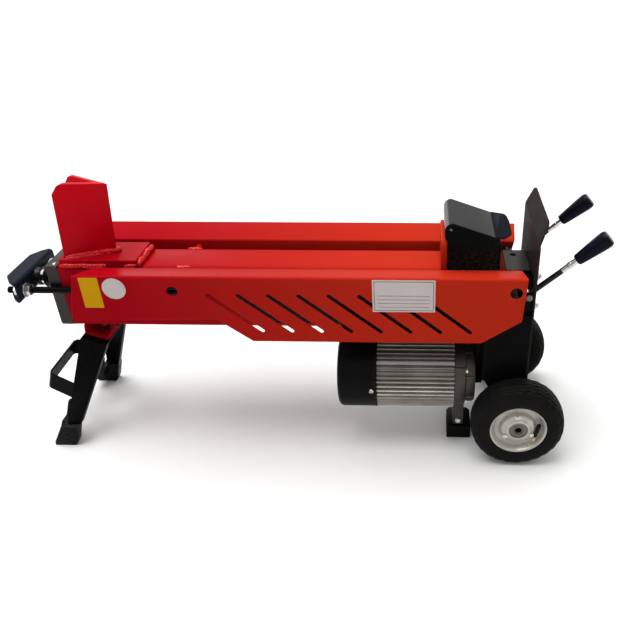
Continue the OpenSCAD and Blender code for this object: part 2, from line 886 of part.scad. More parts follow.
module yoke() {
    flange = [[yoke_x + eps, -58], [yoke_x - 2, -58], [yoke_x - 12, -52], [yoke_tip, -36],
        [yoke_tip, 36], [yoke_x - 12, 52], [yoke_x - 2, 58], [yoke_x + eps, 58]];
    color("black") placed() difference() {
        union() {
            end_profile([[-yoke_hw, yoke_low + 9], [-yoke_hw + 9, yoke_low], [yoke_hw - 9, yoke_low],
                [yoke_hw, yoke_low + 9], [yoke_hw, yoke_high - 10], [yoke_hw - 10, yoke_high],
                [-yoke_hw + 10, yoke_high], [-yoke_hw, yoke_high - 10]],
                yoke_x, yoke_x + yoke_web);
            for (z = [yoke_low, yoke_high - flange_t])
                translate([0, 0, z]) linear_extrude(flange_t) polygon(flange);
        }
        both_sides() xcyl(yoke_x - 1, yoke_x + yoke_web + 1, tie_d / 2 + fit, tie_y, tie_z);
        xcyl(yoke_x - 1, yoke_x + yoke_web + 1, stud_r, 0, ram_z);
    }
}

module tie_rods() {
    color("black") placed() both_sides()
        xcyl(yoke_x - 18, frame_x + pusher_l - 8, tie_d / 2, tie_y, tie_z);
}

// Saddle over the beam, with cheeks down to the tie rods
module pusher_frame() {
    cheek = 36;
    cheek_low = 266;
    inner_hw = pusher_hw - 2;
    color("black") placed() difference() {
        union() {
            box([frame_x, -inner_hw, beam_top + 1.5], [frame_x + pusher_l - 4, inner_hw, 350]);
            both_sides() box([frame_x, cheek, cheek_low],
                [frame_x + pusher_l - 4, inner_hw, beam_top + 2]);
        }
        both_sides() xcyl(frame_x - 1, frame_x + pusher_l, tie_d / 2, tie_y, tie_z);
    }
}

module push_plate() {
    low = beam_top + 2.5;
    high = 368;
    color("firebrick") placed() side_profile([[push_x, low], [frame_x, low], [frame_x, high],
        [push_x + 5, high], [push_x + 2, high - 6], [push_x, high - 18]], -44, 44);
}

// Folded sheet cover with a rounded nose and a grip tongue at the back
module pusher_cover() {
    t = 2;
    back = frame_x + pusher_l;
    top_back = 379;
    low = 286;
    corner = 12;
    front = frame_x - 5;
    nose = [for (a = [180 : -15 : 90])
        [front + corner + corner * cos(a), pusher_top - corner + corner * sin(a)]];
    outline = concat([[frame_x - 1, 369.5], [front, 377]], nose,
        [[back - 18, top_back + 1], [back - 8, top_back - 2], [back - 2, top_back - 4], [back, 366],
        [back, low], [frame_x, low], [frame_x, 369.5]]);
    color("black") placed() {
        difference() {
            side_profile(outline, -pusher_hw, pusher_hw);
            side_profile([[frame_x - 2, 350], [frame_x, 350], [frame_x + 2, 369],
                [frame_x + 2, pusher_top - 8], [frame_x + 8, pusher_top - t - 1],
                [back - 19, top_back - t], [back - 5, top_back - 7], [back - 2, 364], [back - 2, 350],
                [back - 4, 350], [back - 4, low - 1], [frame_x - 2, low - 1]],
                -pusher_hw + t, pusher_hw - t);
            box([frame_x - 2, -half_w - 2, low - 1], [back + 1, half_w + 2, beam_top + 1.5]);
        }
        translate([0, 0, top_back - 4 - t]) linear_extrude(t)
            polygon([[back - 1, -46], [back + 5, -44], [back + 14, -36], [back + 20, -24],
                [back + 21, 0], [back + 20, 36], [back + 16, 44], [back + 9, 48], [back - 1, 48]]);
    }
}

// Lever on the +Y side with its pin at x and z: hub, cam arm and rod
module lever(x, z, length) {
    translate([x, lever_y, z]) difference() {
        union() {
            rotate([90, 0, 0]) cylinder(h = 12, r = hub_r, center = true);
            box([-4, -5, -arm_l], [4, 1, 0]);
            rotate([0, 90 - lever_rise, 0]) cylinder(h = length - 52, r = 4.4);
        }
        rotate([90, 0, 0]) cylinder(h = 20, r = 3.5 + fit, center = true);
    }
}

// Flared grip over the end of a lever rod
module grip() {
    grip_l = 58;
    translate([pivot_x, lever_y, lever_z]) rotate([0, 90 - lever_rise, 0])
        translate([0, 0, lever_l - grip_l]) difference() {
            rotate_extrude() polygon([[0, 0], [7, 0], [8.8, 2], [12.6, 42], [13, 50],
                [12.4, 55.5], [11, grip_l], [0, grip_l]]);
            translate([0, 0, -1]) cylinder(h = 7, r = 4.4);
        }
}

module lever_far() {
    color("silver") placed() lever(far_x, far_z, lever_l - far_shift);
}

module lever_near() {
    color("silver") placed() mirror([0, 1, 0]) lever(pivot_x, lever_z, lever_l);
}

module grip_far() {
    color("black") placed() grip();
}

module grip_near() {
    color("black") placed() mirror([0, 1, 0]) grip();
}

module valve_spool() {
    color("silver") placed() {
        xcyl(617, spool_end - 8, 6, -lever_y + 2, spool_z);
        xcyl(spool_end - 8 - eps, spool_end, 3, -lever_y + 2, spool_z);
    }
}

main_beam();
cylinder_tube();
front_cap();
gland_nut();
small_screws();
valve_block();
oil_plug();
wedge_base();
splitting_wedge();
weld_beads();
side_panel_near();
side_panel_far();
frame_bolts();
end_plate();
wheel_bracket();
plate_bolts();
wheel_axle();
axle_clips();
leg_bracket();
support_leg();
foot_caps();
carry_handle();
motor_housing();
stator();
fan_cover();
bell_housing();
motor_foot();
motor_bearings();
capacitor_box();
pump_housing();
control_valve();
switch_box();
cable_gland();
lever_clevis();
rotor_shaft();
rotor_core();
cooling_fan();
drive_gear();
driven_gear();
piston();
piston_rod();
ram_nuts();
yoke();
tie_rods();
pusher_frame();
push_plate();
pusher_cover();
tyre_near();
rim_near();
bearings_near();
valve_stem_near();
tyre_far();
rim_far();
bearings_far();
valve_stem_far();
lever_near();
grip_near();
lever_far();
grip_far();
valve_spool();
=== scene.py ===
import bpy, bmesh, json
from math import asin, atan2, copysign, cos, degrees, hypot, pi, radians, sin, sqrt, tan
from mathutils import Matrix, Vector, noise
from mathutils.geometry import tessellate_polygon


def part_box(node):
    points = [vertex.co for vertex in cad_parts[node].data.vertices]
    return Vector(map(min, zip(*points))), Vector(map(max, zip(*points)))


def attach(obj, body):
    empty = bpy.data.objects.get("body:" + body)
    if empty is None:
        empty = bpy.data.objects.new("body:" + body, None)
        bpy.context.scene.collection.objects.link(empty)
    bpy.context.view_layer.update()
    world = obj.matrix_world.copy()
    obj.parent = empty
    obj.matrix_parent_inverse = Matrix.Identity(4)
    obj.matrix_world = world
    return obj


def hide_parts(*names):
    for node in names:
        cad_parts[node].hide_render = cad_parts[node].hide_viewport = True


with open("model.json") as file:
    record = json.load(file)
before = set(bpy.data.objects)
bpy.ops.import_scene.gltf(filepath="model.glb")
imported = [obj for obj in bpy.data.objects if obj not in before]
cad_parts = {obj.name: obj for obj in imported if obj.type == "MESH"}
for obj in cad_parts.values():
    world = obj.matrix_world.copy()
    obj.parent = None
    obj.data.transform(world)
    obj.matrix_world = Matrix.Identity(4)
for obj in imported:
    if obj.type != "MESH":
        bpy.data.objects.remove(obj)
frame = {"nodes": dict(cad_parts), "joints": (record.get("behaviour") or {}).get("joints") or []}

# Everything below is drawn in millimetres in the frame's own axes and scaled when its mesh is made.
MM = 0.001
noise.seed_set(1)                          # noise_vector differs from run to run without it
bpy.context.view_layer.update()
X, Y, Z = Vector((1, 0, 0)), Vector((0, 1, 0)), Vector((0, 0, 1))


def add_object(name, data):
    obj = bpy.data.objects.new(name, data)
    bpy.context.scene.collection.objects.link(obj)
    return obj


def box_of(node):
    lo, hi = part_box(node)
    return lo / MM, hi / MM


def joint(name):
    found = next(j for j in frame["joints"] if j["name"] == name)
    return Vector(found["pos_m"]) / MM


# ---- mesh tools

def piece(name, bm, finish, *nodes, on="chassis", sharp=32, merge=0.001):
    """A mesh in millimetres becomes a piece that rides on a body and stands for the named CAD nodes."""
    bmesh.ops.remove_doubles(bm, verts=bm.verts, dist=merge)
    bmesh.ops.recalc_face_normals(bm, faces=bm.faces)
    mesh = bpy.data.meshes.new(name)
    bm.to_mesh(mesh)
    bm.free()
    mesh.transform(Matrix.Scale(MM, 4))
    mesh.shade_smooth()
    mesh.set_sharp_from_angle(angle=radians(sharp))
    mesh.materials.append(finish)
    obj = add_object(name, mesh)
    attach(obj, on)
    if nodes:
        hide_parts(*nodes)


def flipped(bm):
    """The same mesh on the other side of the machine."""
    other = bm.copy()
    bmesh.ops.scale(other, vec=(1, -1, 1), verts=other.verts)
    bmesh.ops.reverse_faces(other, faces=other.faces)
    return other


def joined(*meshes):
    """Several meshes in one."""
    whole = bmesh.new()
    for part in meshes:
        mesh = bpy.data.meshes.new("part")
        part.to_mesh(mesh)
        part.free()
        whole.from_mesh(mesh)
        bpy.data.meshes.remove(mesh)
    return whole


def both(bm):
    return joined(flipped(bm), bm)


def turned(bm, matrix):
    bmesh.ops.transform(bm, matrix=matrix, verts=bm.verts)
    return bm


def soften(bm, width, segments=2, angle=30):
    """Rounds the edges sharper than angle."""
    limit = radians(angle)
    edges = [e for e in bm.edges if len(e.link_faces) == 2 and e.calc_face_angle(0) > limit]
    bmesh.ops.bevel(bm, geom=edges, offset=width, segments=segments, profile=0.5, affect="EDGES",
        clamp_overlap=True)
    return bm


def from_cad(node, width=0.8, segments=2, angle=30):
    """A CAD node's own shape with its flats joined and its edges rounded."""
    bm = bmesh.new()
    bm.from_mesh(frame["nodes"][node].data)
    bmesh.ops.scale(bm, vec=(1 / MM,) * 3, verts=bm.verts)
    bmesh.ops.remove_doubles(bm, verts=bm.verts, dist=0.002)
    bmesh.ops.dissolve_limit(bm, angle_limit=radians(1), verts=bm.verts, edges=bm.edges)
    if width:
        soften(bm, width, segments, angle)
    return bm


def block(lo, hi, width=0.8, segments=2):
    bm = bmesh.new()
    bmesh.ops.create_cube(bm, size=1)
    lo, hi = Vector(lo), Vector(hi)
    turned(bm, Matrix.Translation((lo + hi) / 2) @ Matrix.Diagonal((*(hi - lo), 1)))
    return soften(bm, width, segments) if width else bm


def along(start, direction, turn=0):
    """Matrix that takes +Z at the origin to a direction at a start point."""
    direction = Vector(direction).normalized()
    base = direction.to_track_quat("Z", "Y").to_matrix().to_4x4()
    return Matrix.Translation(start) @ base @ Matrix.Rotation(radians(turn), 4, "Z")


def lathe(profile, start=(0, 0, 0), direction=(0, 0, 1), sides=64, closed=False):
    """Radius and height pairs turned about an axis. Radius 0 closes an end."""
    bm = bmesh.new()
    rings = []
    for r, h in profile:
        if r < 1e-6:
            rings.append([bm.verts.new((0, 0, h))])
            continue
        rings.append([bm.verts.new((r * cos(a), r * sin(a), h))
            for a in (2 * pi * i / sides for i in range(sides))])
    pairs = list(zip(rings, rings[1:])) + ([(rings[-1], rings[0])] if closed else [])
    for a, b in pairs:
        for i in range(sides):
            j = (i + 1) % sides
            corner = [a[i % len(a)], a[j % len(a)], b[j % len(b)], b[i % len(b)]]
            face = list(dict.fromkeys(corner))
            if len(face) > 2:
                bm.faces.new(face)
    return turned(bm, along(start, direction))


def rect(u0, v0, u1, v1):
    return [(u0, v0), (u1, v0), (u1, v1), (u0, v1)]


def arc(cx, cy, r, start, end, steps=6):
    """Points of an arc, angles in degrees."""
    return [(cx + r * cos(radians(start + (end - start) * i / steps)),
        cy + r * sin(radians(start + (end - start) * i / steps))) for i in range(steps + 1)]


def rounded(points, radii, steps=5):
    """An outline with its corners rounded; radii is one number or one for each corner."""
    if not isinstance(radii, (list, tuple)):
        radii = [radii] * len(points)
    out = []
    for i, (p, r) in enumerate(zip(points, radii)):
        p = Vector(p)
        a, b = Vector(points[i - 1]) - p, Vector(points[(i + 1) % len(points)]) - p
        if r <= 0 or a.angle(-b) < 0.01:
            out.append(tuple(p))
            continue
        half = a.angle(b) / 2
        cut = min(r / tan(half), a.length * 0.49, b.length * 0.49)
        r = cut * tan(half)
        centre = p + (a.normalized() + b.normalized()).normalized() * (r / sin(half))
        first, last = p + a.normalized() * cut - centre, p + b.normalized() * cut - centre
        sweep = first.angle_signed(last)
        for k in range(steps + 1):
            out.append(tuple(centre + Matrix.Rotation(-sweep * k / steps, 2) @ first))
    return out


def area(loop):
    return sum(a[0] * b[1] - b[0] * a[1] for a, b in zip(loop, loop[1:] + loop[:1])) / 2


def doubled(profile, length):
    """A profile's first half and its mirror image at the other end."""
    return profile + [(r, length - h) for r, h in reversed(profile)]


def inset(loop, d):
    """A loop moved to its left by d at every corner."""
    out = []
    for i, p in enumerate(loop):
        a = (Vector(p) - Vector(loop[i - 1])).normalized()
        b = (Vector(loop[(i + 1) % len(loop)]) - Vector(p)).normalized()
        n = Vector((-a.y - b.y, a.x + b.x))
        n.normalize()
        out.append(tuple(Vector(p) + n * d / max(n.dot(Vector((-a.y, a.x))), 0.4)))
    return out


def plate(outline, holes=(), thickness=2, edge=0.35):
    """A flat plate in U and V, from W = 0 up to its thickness, with its edges eased."""
    loops = [outline if area(outline) > 0 else outline[::-1]]
    loops += [h if area(h) < 0 else h[::-1] for h in holes]
    bm = bmesh.new()
    inner = [inset(loop, edge) for loop in loops]
    flat = [v for loop in inner for v in loop]
    caps = tessellate_polygon([[Vector((u, v, 0)) for u, v in loop] for loop in inner])
    for w in (0, thickness):
        verts = [bm.verts.new((u, v, w)) for u, v in flat]
        for tri in caps:
            corner = [verts[k] for k in tri]
            if len(set(corner)) == 3:
                bm.faces.new(corner)
    count = 0
    bm.verts.ensure_lookup_table()
    for loop in loops:
        n = len(loop)
        low = bm.verts[count:count + n]
        high = bm.verts[len(flat) + count:len(flat) + count + n]
        mid = [[bm.verts.new((u, v, w)) for u, v in loop] for w in (edge, thickness - edge)]
        bm.verts.ensure_lookup_table()
        for a, b in ((low, mid[0]), (mid[0], mid[1]), (mid[1], high)):
            for i in range(n):
                j = (i + 1) % n
                bm.faces.new((a[i], a[j], b[j], b[i]))
        count += n
    bmesh.ops.recalc_face_normals(bm, faces=bm.faces)
    return bm


def folded(bm, points, radius, place, steps=5):
    """Bends a plate along V so that it follows a path of straight runs with round bends."""
    points = [Vector(p) for p in points]
    runs = [b - a for a, b in zip(points, points[1:])]
    ends = [0]
    for run in runs:
        ends.append(ends[-1] + run.length)
    bends = []
    for i in range(1, len(runs)):
        turn = -runs[i - 1].angle_signed(runs[i])
        bends.append((ends[i], radius * tan(abs(turn) / 2), turn, i))
    for at, reach, turn, i in bends:
        for k in range(steps + 1):
            cut = at - reach + 2 * reach * k / steps
            bmesh.ops.bisect_plane(bm, geom=bm.verts[:] + bm.edges[:] + bm.faces[:],
                plane_co=(0, cut, 0), plane_no=(0, 1, 0), dist=1e-5)
    for vert in bm.verts:
        u, v, w = vert.co
        for at, reach, turn, i in bends:
            if at - reach < v < at + reach:
                d = runs[i - 1].normalized()
                n = Vector((-d.y, d.x))
                first = points[i] - d * reach
                middle = first + n * copysign(radius, turn)
                spin = Matrix.Rotation(turn * (v - at + reach) / (2 * reach), 2)
                p = middle + spin @ (first - middle) + (spin @ n) * w
                break
        else:
            i = next((k for k in range(len(runs)) if v <= ends[k + 1]), len(runs) - 1)
            d = runs[i].normalized()
            p = points[i] + d * (v - ends[i]) + Vector((-d.y, d.x)) * w
        vert.co = place(u, p.x, p.y)
    return bm


def extruded(outline, place, low, high, width=0.6, holes=()):
    """A thick profile between two planes, with its edges rounded."""
    bm = plate(outline, holes, high - low, width)
    for vert in bm.verts:
        vert.co = place(vert.co.x, vert.co.y, vert.co.z + low)
    return bm


def circle(x, y, r, sides=32):
    return [(x + r * cos(2 * pi * i / sides), y + r * sin(2 * pi * i / sides)) for i in range(sides)]


def slot(a, b, r, steps=8):
    """Outline of a straight slot with round ends."""
    a, b = Vector(a), Vector(b)
    heading = degrees(atan2((b - a).y, (b - a).x))
    return (arc(b.x, b.y, r, heading - 90, heading + 90, steps) + arc(a.x, a.y, r, heading + 90,
        heading + 270, steps))


def sweep(points, radius, sides=16):
    """A round bar along a path, with closed ends; radius is a function of the point's number."""
    bm = bmesh.new()
    points = [Vector(p) for p in points]
    rings = []
    ahead = (points[1] - points[0]).normalized()
    side = ahead.orthogonal().normalized()
    for i, p in enumerate(points):
        t = (points[min(i + 1, len(points) - 1)] - points[max(i - 1, 0)]).normalized()
        side = (side - t * side.dot(t)).normalized()
        other = t.cross(side)
        rings.append([bm.verts.new(p + (side * cos(a) + other * sin(a)) * radius(i))
            for a in (2 * pi * k / sides for k in range(sides))])
    for a, b in zip(rings, rings[1:]):
        for k in range(sides):
            bm.faces.new((a[k], a[(k + 1) % sides], b[(k + 1) % sides], b[k]))
    bm.faces.new(rings[0][::-1])
    bm.faces.new(rings[-1])
    return bm


def hexagon(flats, low, high, start, direction, turn=0, chamfer=0.8):
    """A nut or bolt head with its points chamfered."""
    r = flats / sqrt(3)
    bm = lathe([(0, low), (r - chamfer, low), (r, low + chamfer * 0.5), (r, high - chamfer * 0.5),
        (r - chamfer, high), (0, high)], sides=6)
    return turned(bm, along(start, direction, turn))


def washer(inner, outer, height, start, direction):
    e = 0.25
    return lathe([(inner, 0), (outer - e, 0), (outer, e), (outer, height - e), (outer - e, height),
        (inner, height)], start, direction, 40, closed=True)


def nut(bore, rim, seat, flats, top, start, direction, turn=0, chamfer=0.8):
    """A nut or bolt head on its washer."""
    return [washer(bore, rim, seat, start, direction), hexagon(flats, seat, top, start, direction, turn,
        chamfer)]


def button_screw(r, height, start, direction, sides=32):
    """A low domed screw head with a round socket."""
    dome = [(r * cos(a), height * sin(a)) for a in (k * pi / 2 / 5 for k in range(5))]
    bm = lathe([(0, 0), (r, 0)] + dome[:4] + [(r * 0.42, height), (r * 0.4, height * 0.4),
        (0, height * 0.35)], sides=sides)
    return turned(bm, along(start, direction))


# ---- materials


def adder(tree):
    """A function that adds a node, with each input set to a value or linked from a socket."""
    def add(kind, inputs=(), **settings):
        made = tree.nodes.new("ShaderNode" + kind)
        for key, value in settings.items():
            setattr(made, key, value)
        for key, value in dict(inputs).items():
            if isinstance(value, bpy.types.NodeSocket):
                tree.links.new(value, made.inputs[key])
            else:
                made.inputs[key].default_value = value
        return made.outputs
    return add


def shader(name, color, rough, metal=0.0, grain=(), vary=0.1, rough_vary=0.1,
           worn_edges_and_highlight=None, dust=None, painted_light_end=None, specular=0.5, tint=(1, 1, 1, 1)):
    """A painted, metal or moulded surface. grain lists (size in mm, height in mm, detail, stretch),
    worn_edges_and_highlight is (colour, sharpness of edge) for lighter edges, partly worn paint and
    partly a painted edge highlight; dust is (colour, amount, size in mm); and painted_light_end is
    the colour that the surface turns to at the wheel end, painted light that brightens that end."""
    mat = bpy.data.materials.new(name)
    mat.use_nodes = True
    tree = mat.node_tree
    add = adder(tree)
    coords = add("TexCoord")["Object"]

    def noise_at(size, detail=3.0, stretch=(1, 1, 1)):
        scaled = add("Mapping", {"Scale": [s / (size * MM) for s in stretch], "Vector": coords})
        return add("TexNoise", {"Scale": 1.0, "Detail": detail, "Vector": scaled[0]})["Fac"]

    def ramp(source, low, high):
        band = add("ValToRGB", {0: source})[0]
        for element, at in zip(band.node.color_ramp.elements, (low, high)):
            element.position = at
        return band

    def mixed(factor, *colors):
        first, last = ((*c, 1) if isinstance(c, tuple) else c for c in colors)
        return add("Mix", {"Factor": factor, 6: first, 7: last}, data_type="RGBA")[2]

    def worked(operation, *inputs):
        return add("Math", enumerate(inputs), operation=operation)[0]

    dark = tuple(c * (1 - vary) for c in color)
    light = tuple(min(c * (1 + vary), 1) for c in color)
    base = mixed(ramp(noise_at(38, 4), 0.35, 0.65), dark, light)
    # Painted light: the colour turns brighter towards the wheel end, standing in for how the light
    # falls along the machine.
    if painted_light_end:
        span = {"From Min": -0.27, "From Max": 0.17, "Value": add("SeparateXYZ", {0: coords})[0]}
        base = mixed(add("MapRange", span)[0], base, painted_light_end)
    gloss = add("MapRange", {"To Min": max(rough - rough_vary, 0.02), "To Max": rough + rough_vary,
        "Value": noise_at(22, 6)})[0]
    if dust:
        film_color, amount, size = dust
        film = worked("MULTIPLY", ramp(noise_at(size, 8), 0.5, 0.78), amount)
        base = mixed(film, base, film_color)
        gloss = worked("MULTIPLY_ADD", film, 0.35, gloss)
    # Lighter edges, partly worn paint and partly a painted edge highlight.
    if worn_edges_and_highlight:
        worn_and_lit_edge_color, start = worn_edges_and_highlight
        edge = ramp(add("NewGeometry")["Pointiness"], start, start + 0.035)
        edge_patches = ramp(noise_at(3.5, 5), 0.42, 0.6)
        base = mixed(worked("MULTIPLY", edge, edge_patches), base, worn_and_lit_edge_color)
    surface = tree.nodes["Principled BSDF"].inputs
    surface["Metallic"].default_value = metal
    surface["Specular IOR Level"].default_value = specular
    surface["Specular Tint"].default_value = tint
    tree.links.new(base, surface["Base Color"])
    tree.links.new(gloss, surface["Roughness"])
    below = {}
    for size, height, detail, *stretch in grain:
        bump = {"Distance": height * MM, "Strength": 1.0, "Height": noise_at(size, detail, *stretch)}
        below = {"Normal": add("Bump", bump | below)[0]}
    for normal in below.values():
        tree.links.new(normal, surface["Normal"])
    return mat


RED = shader("red gloss enamel", (0.272, 0.0013, 0.006), 0.30, vary=0.03, rough_vary=0.04,
    grain=[(60, 0.22, 1), (2.2, 0.006, 2)], dust=((0.30, 0.03, 0.02), 0.05, 60),
    painted_light_end=(0.36, 0.018, 0.0065), specular=0.012)
CRIMSON = shader("crimson gloss enamel", (0.44, 0.0015, 0.008), 0.30, vary=0.03,
    rough_vary=0.04, grain=[(60, 0.22, 1), (2.2, 0.006, 2)], dust=((0.36, 0.03, 0.02), 0.05, 60),
    specular=0.03)
WELD = shader("painted weld", (0.42, 0.003, 0.004), 0.22, vary=0.05, rough_vary=0.08,
    grain=[(1.6, 0.08, 3), (5, 0.25, 2)], specular=0.2)
BLACK = shader("black powder coat", (0.0018, 0.0018, 0.002), 0.38, vary=0.15,
    rough_vary=0.06, grain=[(1.3, 0.005, 3), (30, 0.12, 2)], worn_edges_and_highlight=((0.02, 0.019, 0.017), 0.57),
    dust=((0.015, 0.014, 0.013), 0.04, 30), specular=0.03)
# Black enamel with a painted blue sheen: its blue base colour and blue-tinted gloss stand in for a blue
# reflection.
BLUE_SHEEN_BLACK = shader("black enamel with painted blue sheen", (0.004, 0.006, 0.013), 0.34, vary=0.12,
    rough_vary=0.05, grain=[(1.3, 0.006, 3), (30, 0.1, 2)], worn_edges_and_highlight=((0.04, 0.04, 0.045), 0.57),
    specular=0.055, tint=(0.75, 0.85, 1.0, 1))
SATIN = shader("satin black enamel", (0.0025, 0.0025, 0.003), 0.26, vary=0.12,
    rough_vary=0.04, grain=[(1.6, 0.003, 2, (0.1, 1, 1)), (30, 0.08, 2)],
    worn_edges_and_highlight=((0.03, 0.028, 0.026), 0.58), dust=((0.02, 0.019, 0.018), 0.05, 18), specular=0.15)
FLAP = shader("blue-black flap", (0.006, 0.0065, 0.010), 0.45, grain=[(20, 0.05, 2)],
    specular=0.008)
# The grey-brown of this black plate is a painted reflection, with its gloss turned almost off.
GUARD = shader("guard enamel with painted grey reflection", (0.022, 0.0175, 0.015), 0.4, rough_vary=0.04,
    grain=[(40, 0.2, 1)], worn_edges_and_highlight=((0.05, 0.045, 0.042), 0.57), dust=((0.04, 0.036, 0.033), 0.05, 25),
    specular=0.004)
GREY = shader("grey primer", (0.14, 0.14, 0.15), 0.5, grain=[(1.5, 0.03, 2)])
CAST = shader("cast aluminium", (0.33, 0.312, 0.285), 0.46, 0.9, vary=0.12,
    grain=[(0.9, 0.05, 4), (6, 0.12, 3)], dust=((0.2, 0.185, 0.165), 0.3, 12))
BELL = shader("dark cast aluminium", (0.066, 0.057, 0.05), 0.5, 0.9, vary=0.14,
    grain=[(0.9, 0.06, 4), (6, 0.15, 3)], dust=((0.05, 0.045, 0.038), 0.3, 12))
MILLED = shader("milled aluminium", (0.034, 0.03, 0.028), 0.36, 0.95,
    grain=[(1.2, 0.015, 2, (0.06, 1, 1)), (9, 0.04, 2)], dust=((0.04, 0.036, 0.033), 0.25, 9))
ZINC = shader("bright zinc", (0.56, 0.55, 0.54), 0.24, 1.0, vary=0.08,
    grain=[(1.4, 0.02, 3)], dust=((0.3, 0.27, 0.24), 0.2, 6))
DARK = shader("dull steel", (0.13, 0.12, 0.105), 0.34, 1.0, vary=0.12,
    grain=[(1.2, 0.03, 3)], dust=((0.08, 0.06, 0.04), 0.3, 5))
CHROME = shader("hard chrome", (0.66, 0.66, 0.66), 0.09, 1.0, vary=0.03,
    rough_vary=0.05, grain=[(0.8, 0.004, 2, (0.1, 1, 1))])
COPPER = shader("varnished laminations", (0.24, 0.16, 0.09), 0.5, 0.3, vary=0.2,
    grain=[(0.7, 0.06, 1, (4, 0.1, 0.1))])
PLASTIC = shader("black moulded plastic", (0.0028, 0.0028, 0.003), 0.40, vary=0.12,
    rough_vary=0.07, grain=[(0.7, 0.012, 2), (3.0, 0.02, 3)], worn_edges_and_highlight=((0.012, 0.012, 0.012), 0.57),
    dust=((0.02, 0.019, 0.017), 0.05, 20), specular=0.05)
# The blue in this black is a painted blue reflection.
GRIP = shader("gloss black grip with painted blue sheen", (0.003, 0.0035, 0.008), 0.12, rough_vary=0.03,
    grain=[(7, 0.03, 2)], specular=0.05)
GRIP_END = shader("grip end", (0.03, 0.03, 0.034), 0.38, grain=[(1.0, 0.03, 2)],
    specular=0.2)
RUBBER = shader("valve rubber", (0.004, 0.004, 0.004), 0.55, vary=0.15,
    grain=[(0.8, 0.04, 3)], specular=0.08)
TYRE = shader("tyre rubber", (0.0045, 0.0042, 0.004), 0.5, vary=0.18, rough_vary=0.09,
    grain=[(0.8, 0.05, 4), (7, 0.10, 3)], dust=((0.014, 0.012, 0.010), 0.2, 14), specular=0.05)
RIM = shader("white rim enamel", (0.41, 0.395, 0.355), 0.3, 0.3, vary=0.07,
    rough_vary=0.08, grain=[(1.2, 0.03, 3), (8, 0.08, 2)], dust=((0.2, 0.165, 0.11), 0.3, 9))
BRASS = shader("brass valve core", (0.58, 0.42, 0.16), 0.3, 1.0,
    grain=[(0.6, 0.03, 2, (0.2, 0.2, 3))])
YELLOW = shader("yellow vinyl", (0.47, 0.24, 0.002), 0.4, vary=0.03, grain=[(20, 0.02, 1)],
    specular=0.03)
WHITE = shader("white vinyl", (0.45, 0.405, 0.395), 0.35, vary=0.02, grain=[(20, 0.02, 1)],
    specular=0.1)
INK = shader("dark print", (0.055, 0.05, 0.055), 0.45, vary=0.05, grain=[(2, 0.005, 1)],
    specular=0.1)
FLOOR = shader("studio floor", (0.62, 0.62, 0.62), 0.9, vary=0.002)


# ---- beam and wedge

beam_lo, beam_hi = box_of("main_beam")
base_lo, base_hi = box_of("wedge_base")
edge_x = base_hi.x - 42                    # the cutting edge's foot
beam_half = base_hi.y + 1
beam_top = beam_hi.z
rod_z, tie_y, tie_z = 280, 42, 278         # middle of the ram rod and of the two tie rods


def across(u, v, w):
    """Profiles in X and Z, thickness along Y. The next two are in Y and Z, and in X and Y."""
    return Vector((u, w, v))


def lengthwise(u, v, w):
    return Vector((w, u, v))


def flat(u, v, w):
    return Vector((u, v, w))


def bead(path, radius, pitch=3.2, ripple=0.16, sides=12, seed=1):
    """A laid weld: overlapping scales along a path, each a little different."""
    legs = [(Vector(a), Vector(b)) for a, b in zip(path, path[1:])]
    total = sum((b - a).length for a, b in legs)
    count = max(int(total / 0.9), 4)
    points, run, leg = [], 0.0, 0
    for i in range(count + 1):
        d = total * i / count
        while leg < len(legs) - 1 and d > run + (legs[leg][1] - legs[leg][0]).length:
            run += (legs[leg][1] - legs[leg][0]).length
            leg += 1
        a, b = legs[leg]
        p = a + (b - a).normalized() * (d - run)
        wobble = noise.noise_vector(p * 0.09 + Vector((seed, 0, 0))) * radius * 0.22
        points.append(p + wobble)

    def size(i):
        d = total * i / count
        scale = (d % pitch) / pitch
        lump = noise.noise(points[i] * 0.35 + Vector((0, seed, 0)))
        end = min(1, 0.5 + 0.5 * min(d, total - d) / radius)
        return radius * end * (1 - ripple * scale + 0.14 * lump)
    return sweep(points, size, sides)


def blob(centre, size, seed=0):
    """A small lump of weld."""
    bm = bmesh.new()
    bmesh.ops.create_icosphere(bm, subdivisions=3, radius=1)
    for v in bm.verts:
        n = 1 + 0.16 * noise.noise(v.co * 1.7 + Vector((seed, seed, 0)))
        v.co = Vector((v.co.x * size[0], v.co.y * size[1], v.co.z * size[2])) * n
    return turned(bm, Matrix.Translation(centre))


def build_beam():
    body = rounded(rect(-beam_half, beam_lo.z, beam_half, beam_top), 8, 7)
    lo_x, hi_x = box_of("front_cap")[1].x, box_of("valve_block")[0].x
    tube = extruded(body, lengthwise, lo_x, hi_x, 0.5, holes=[inset(body, 4)])
    spacers = both(lathe(rect(4.1, 0, 6.2, 14), (edge_x + 117, beam_half, 310), Y, 32, closed=True))
    piece("beam", joined(tube, spacers), RED, "main_beam")
    # A thin black sheet on each side of the beam behind the panels: painted shade, so the gap seen
    # through the slots reads dark.
    front, low, rear, high = edge_x + 150, beam_lo.z + 9, edge_x + 585, 290
    painted = [(front, 266), (edge_x + 183, 266), (edge_x + 238, low), (rear, low), (rear, high),
        (front, high)]
    coat = extruded(painted, across, beam_half + 0.05, beam_half + 0.4, 0)
    piece("beam_side_shade", both(coat), BLACK)
    lumps = [blob((edge_x + 115 + dx, side * (beam_half - 2), beam_top - 1.2), (5.5 + k, 3.6, 2.6),
        k + side) for side in (-1, 1) for k, dx in enumerate((-7, -2, 4))]
    piece("spacer_welds", joined(*lumps), WELD)


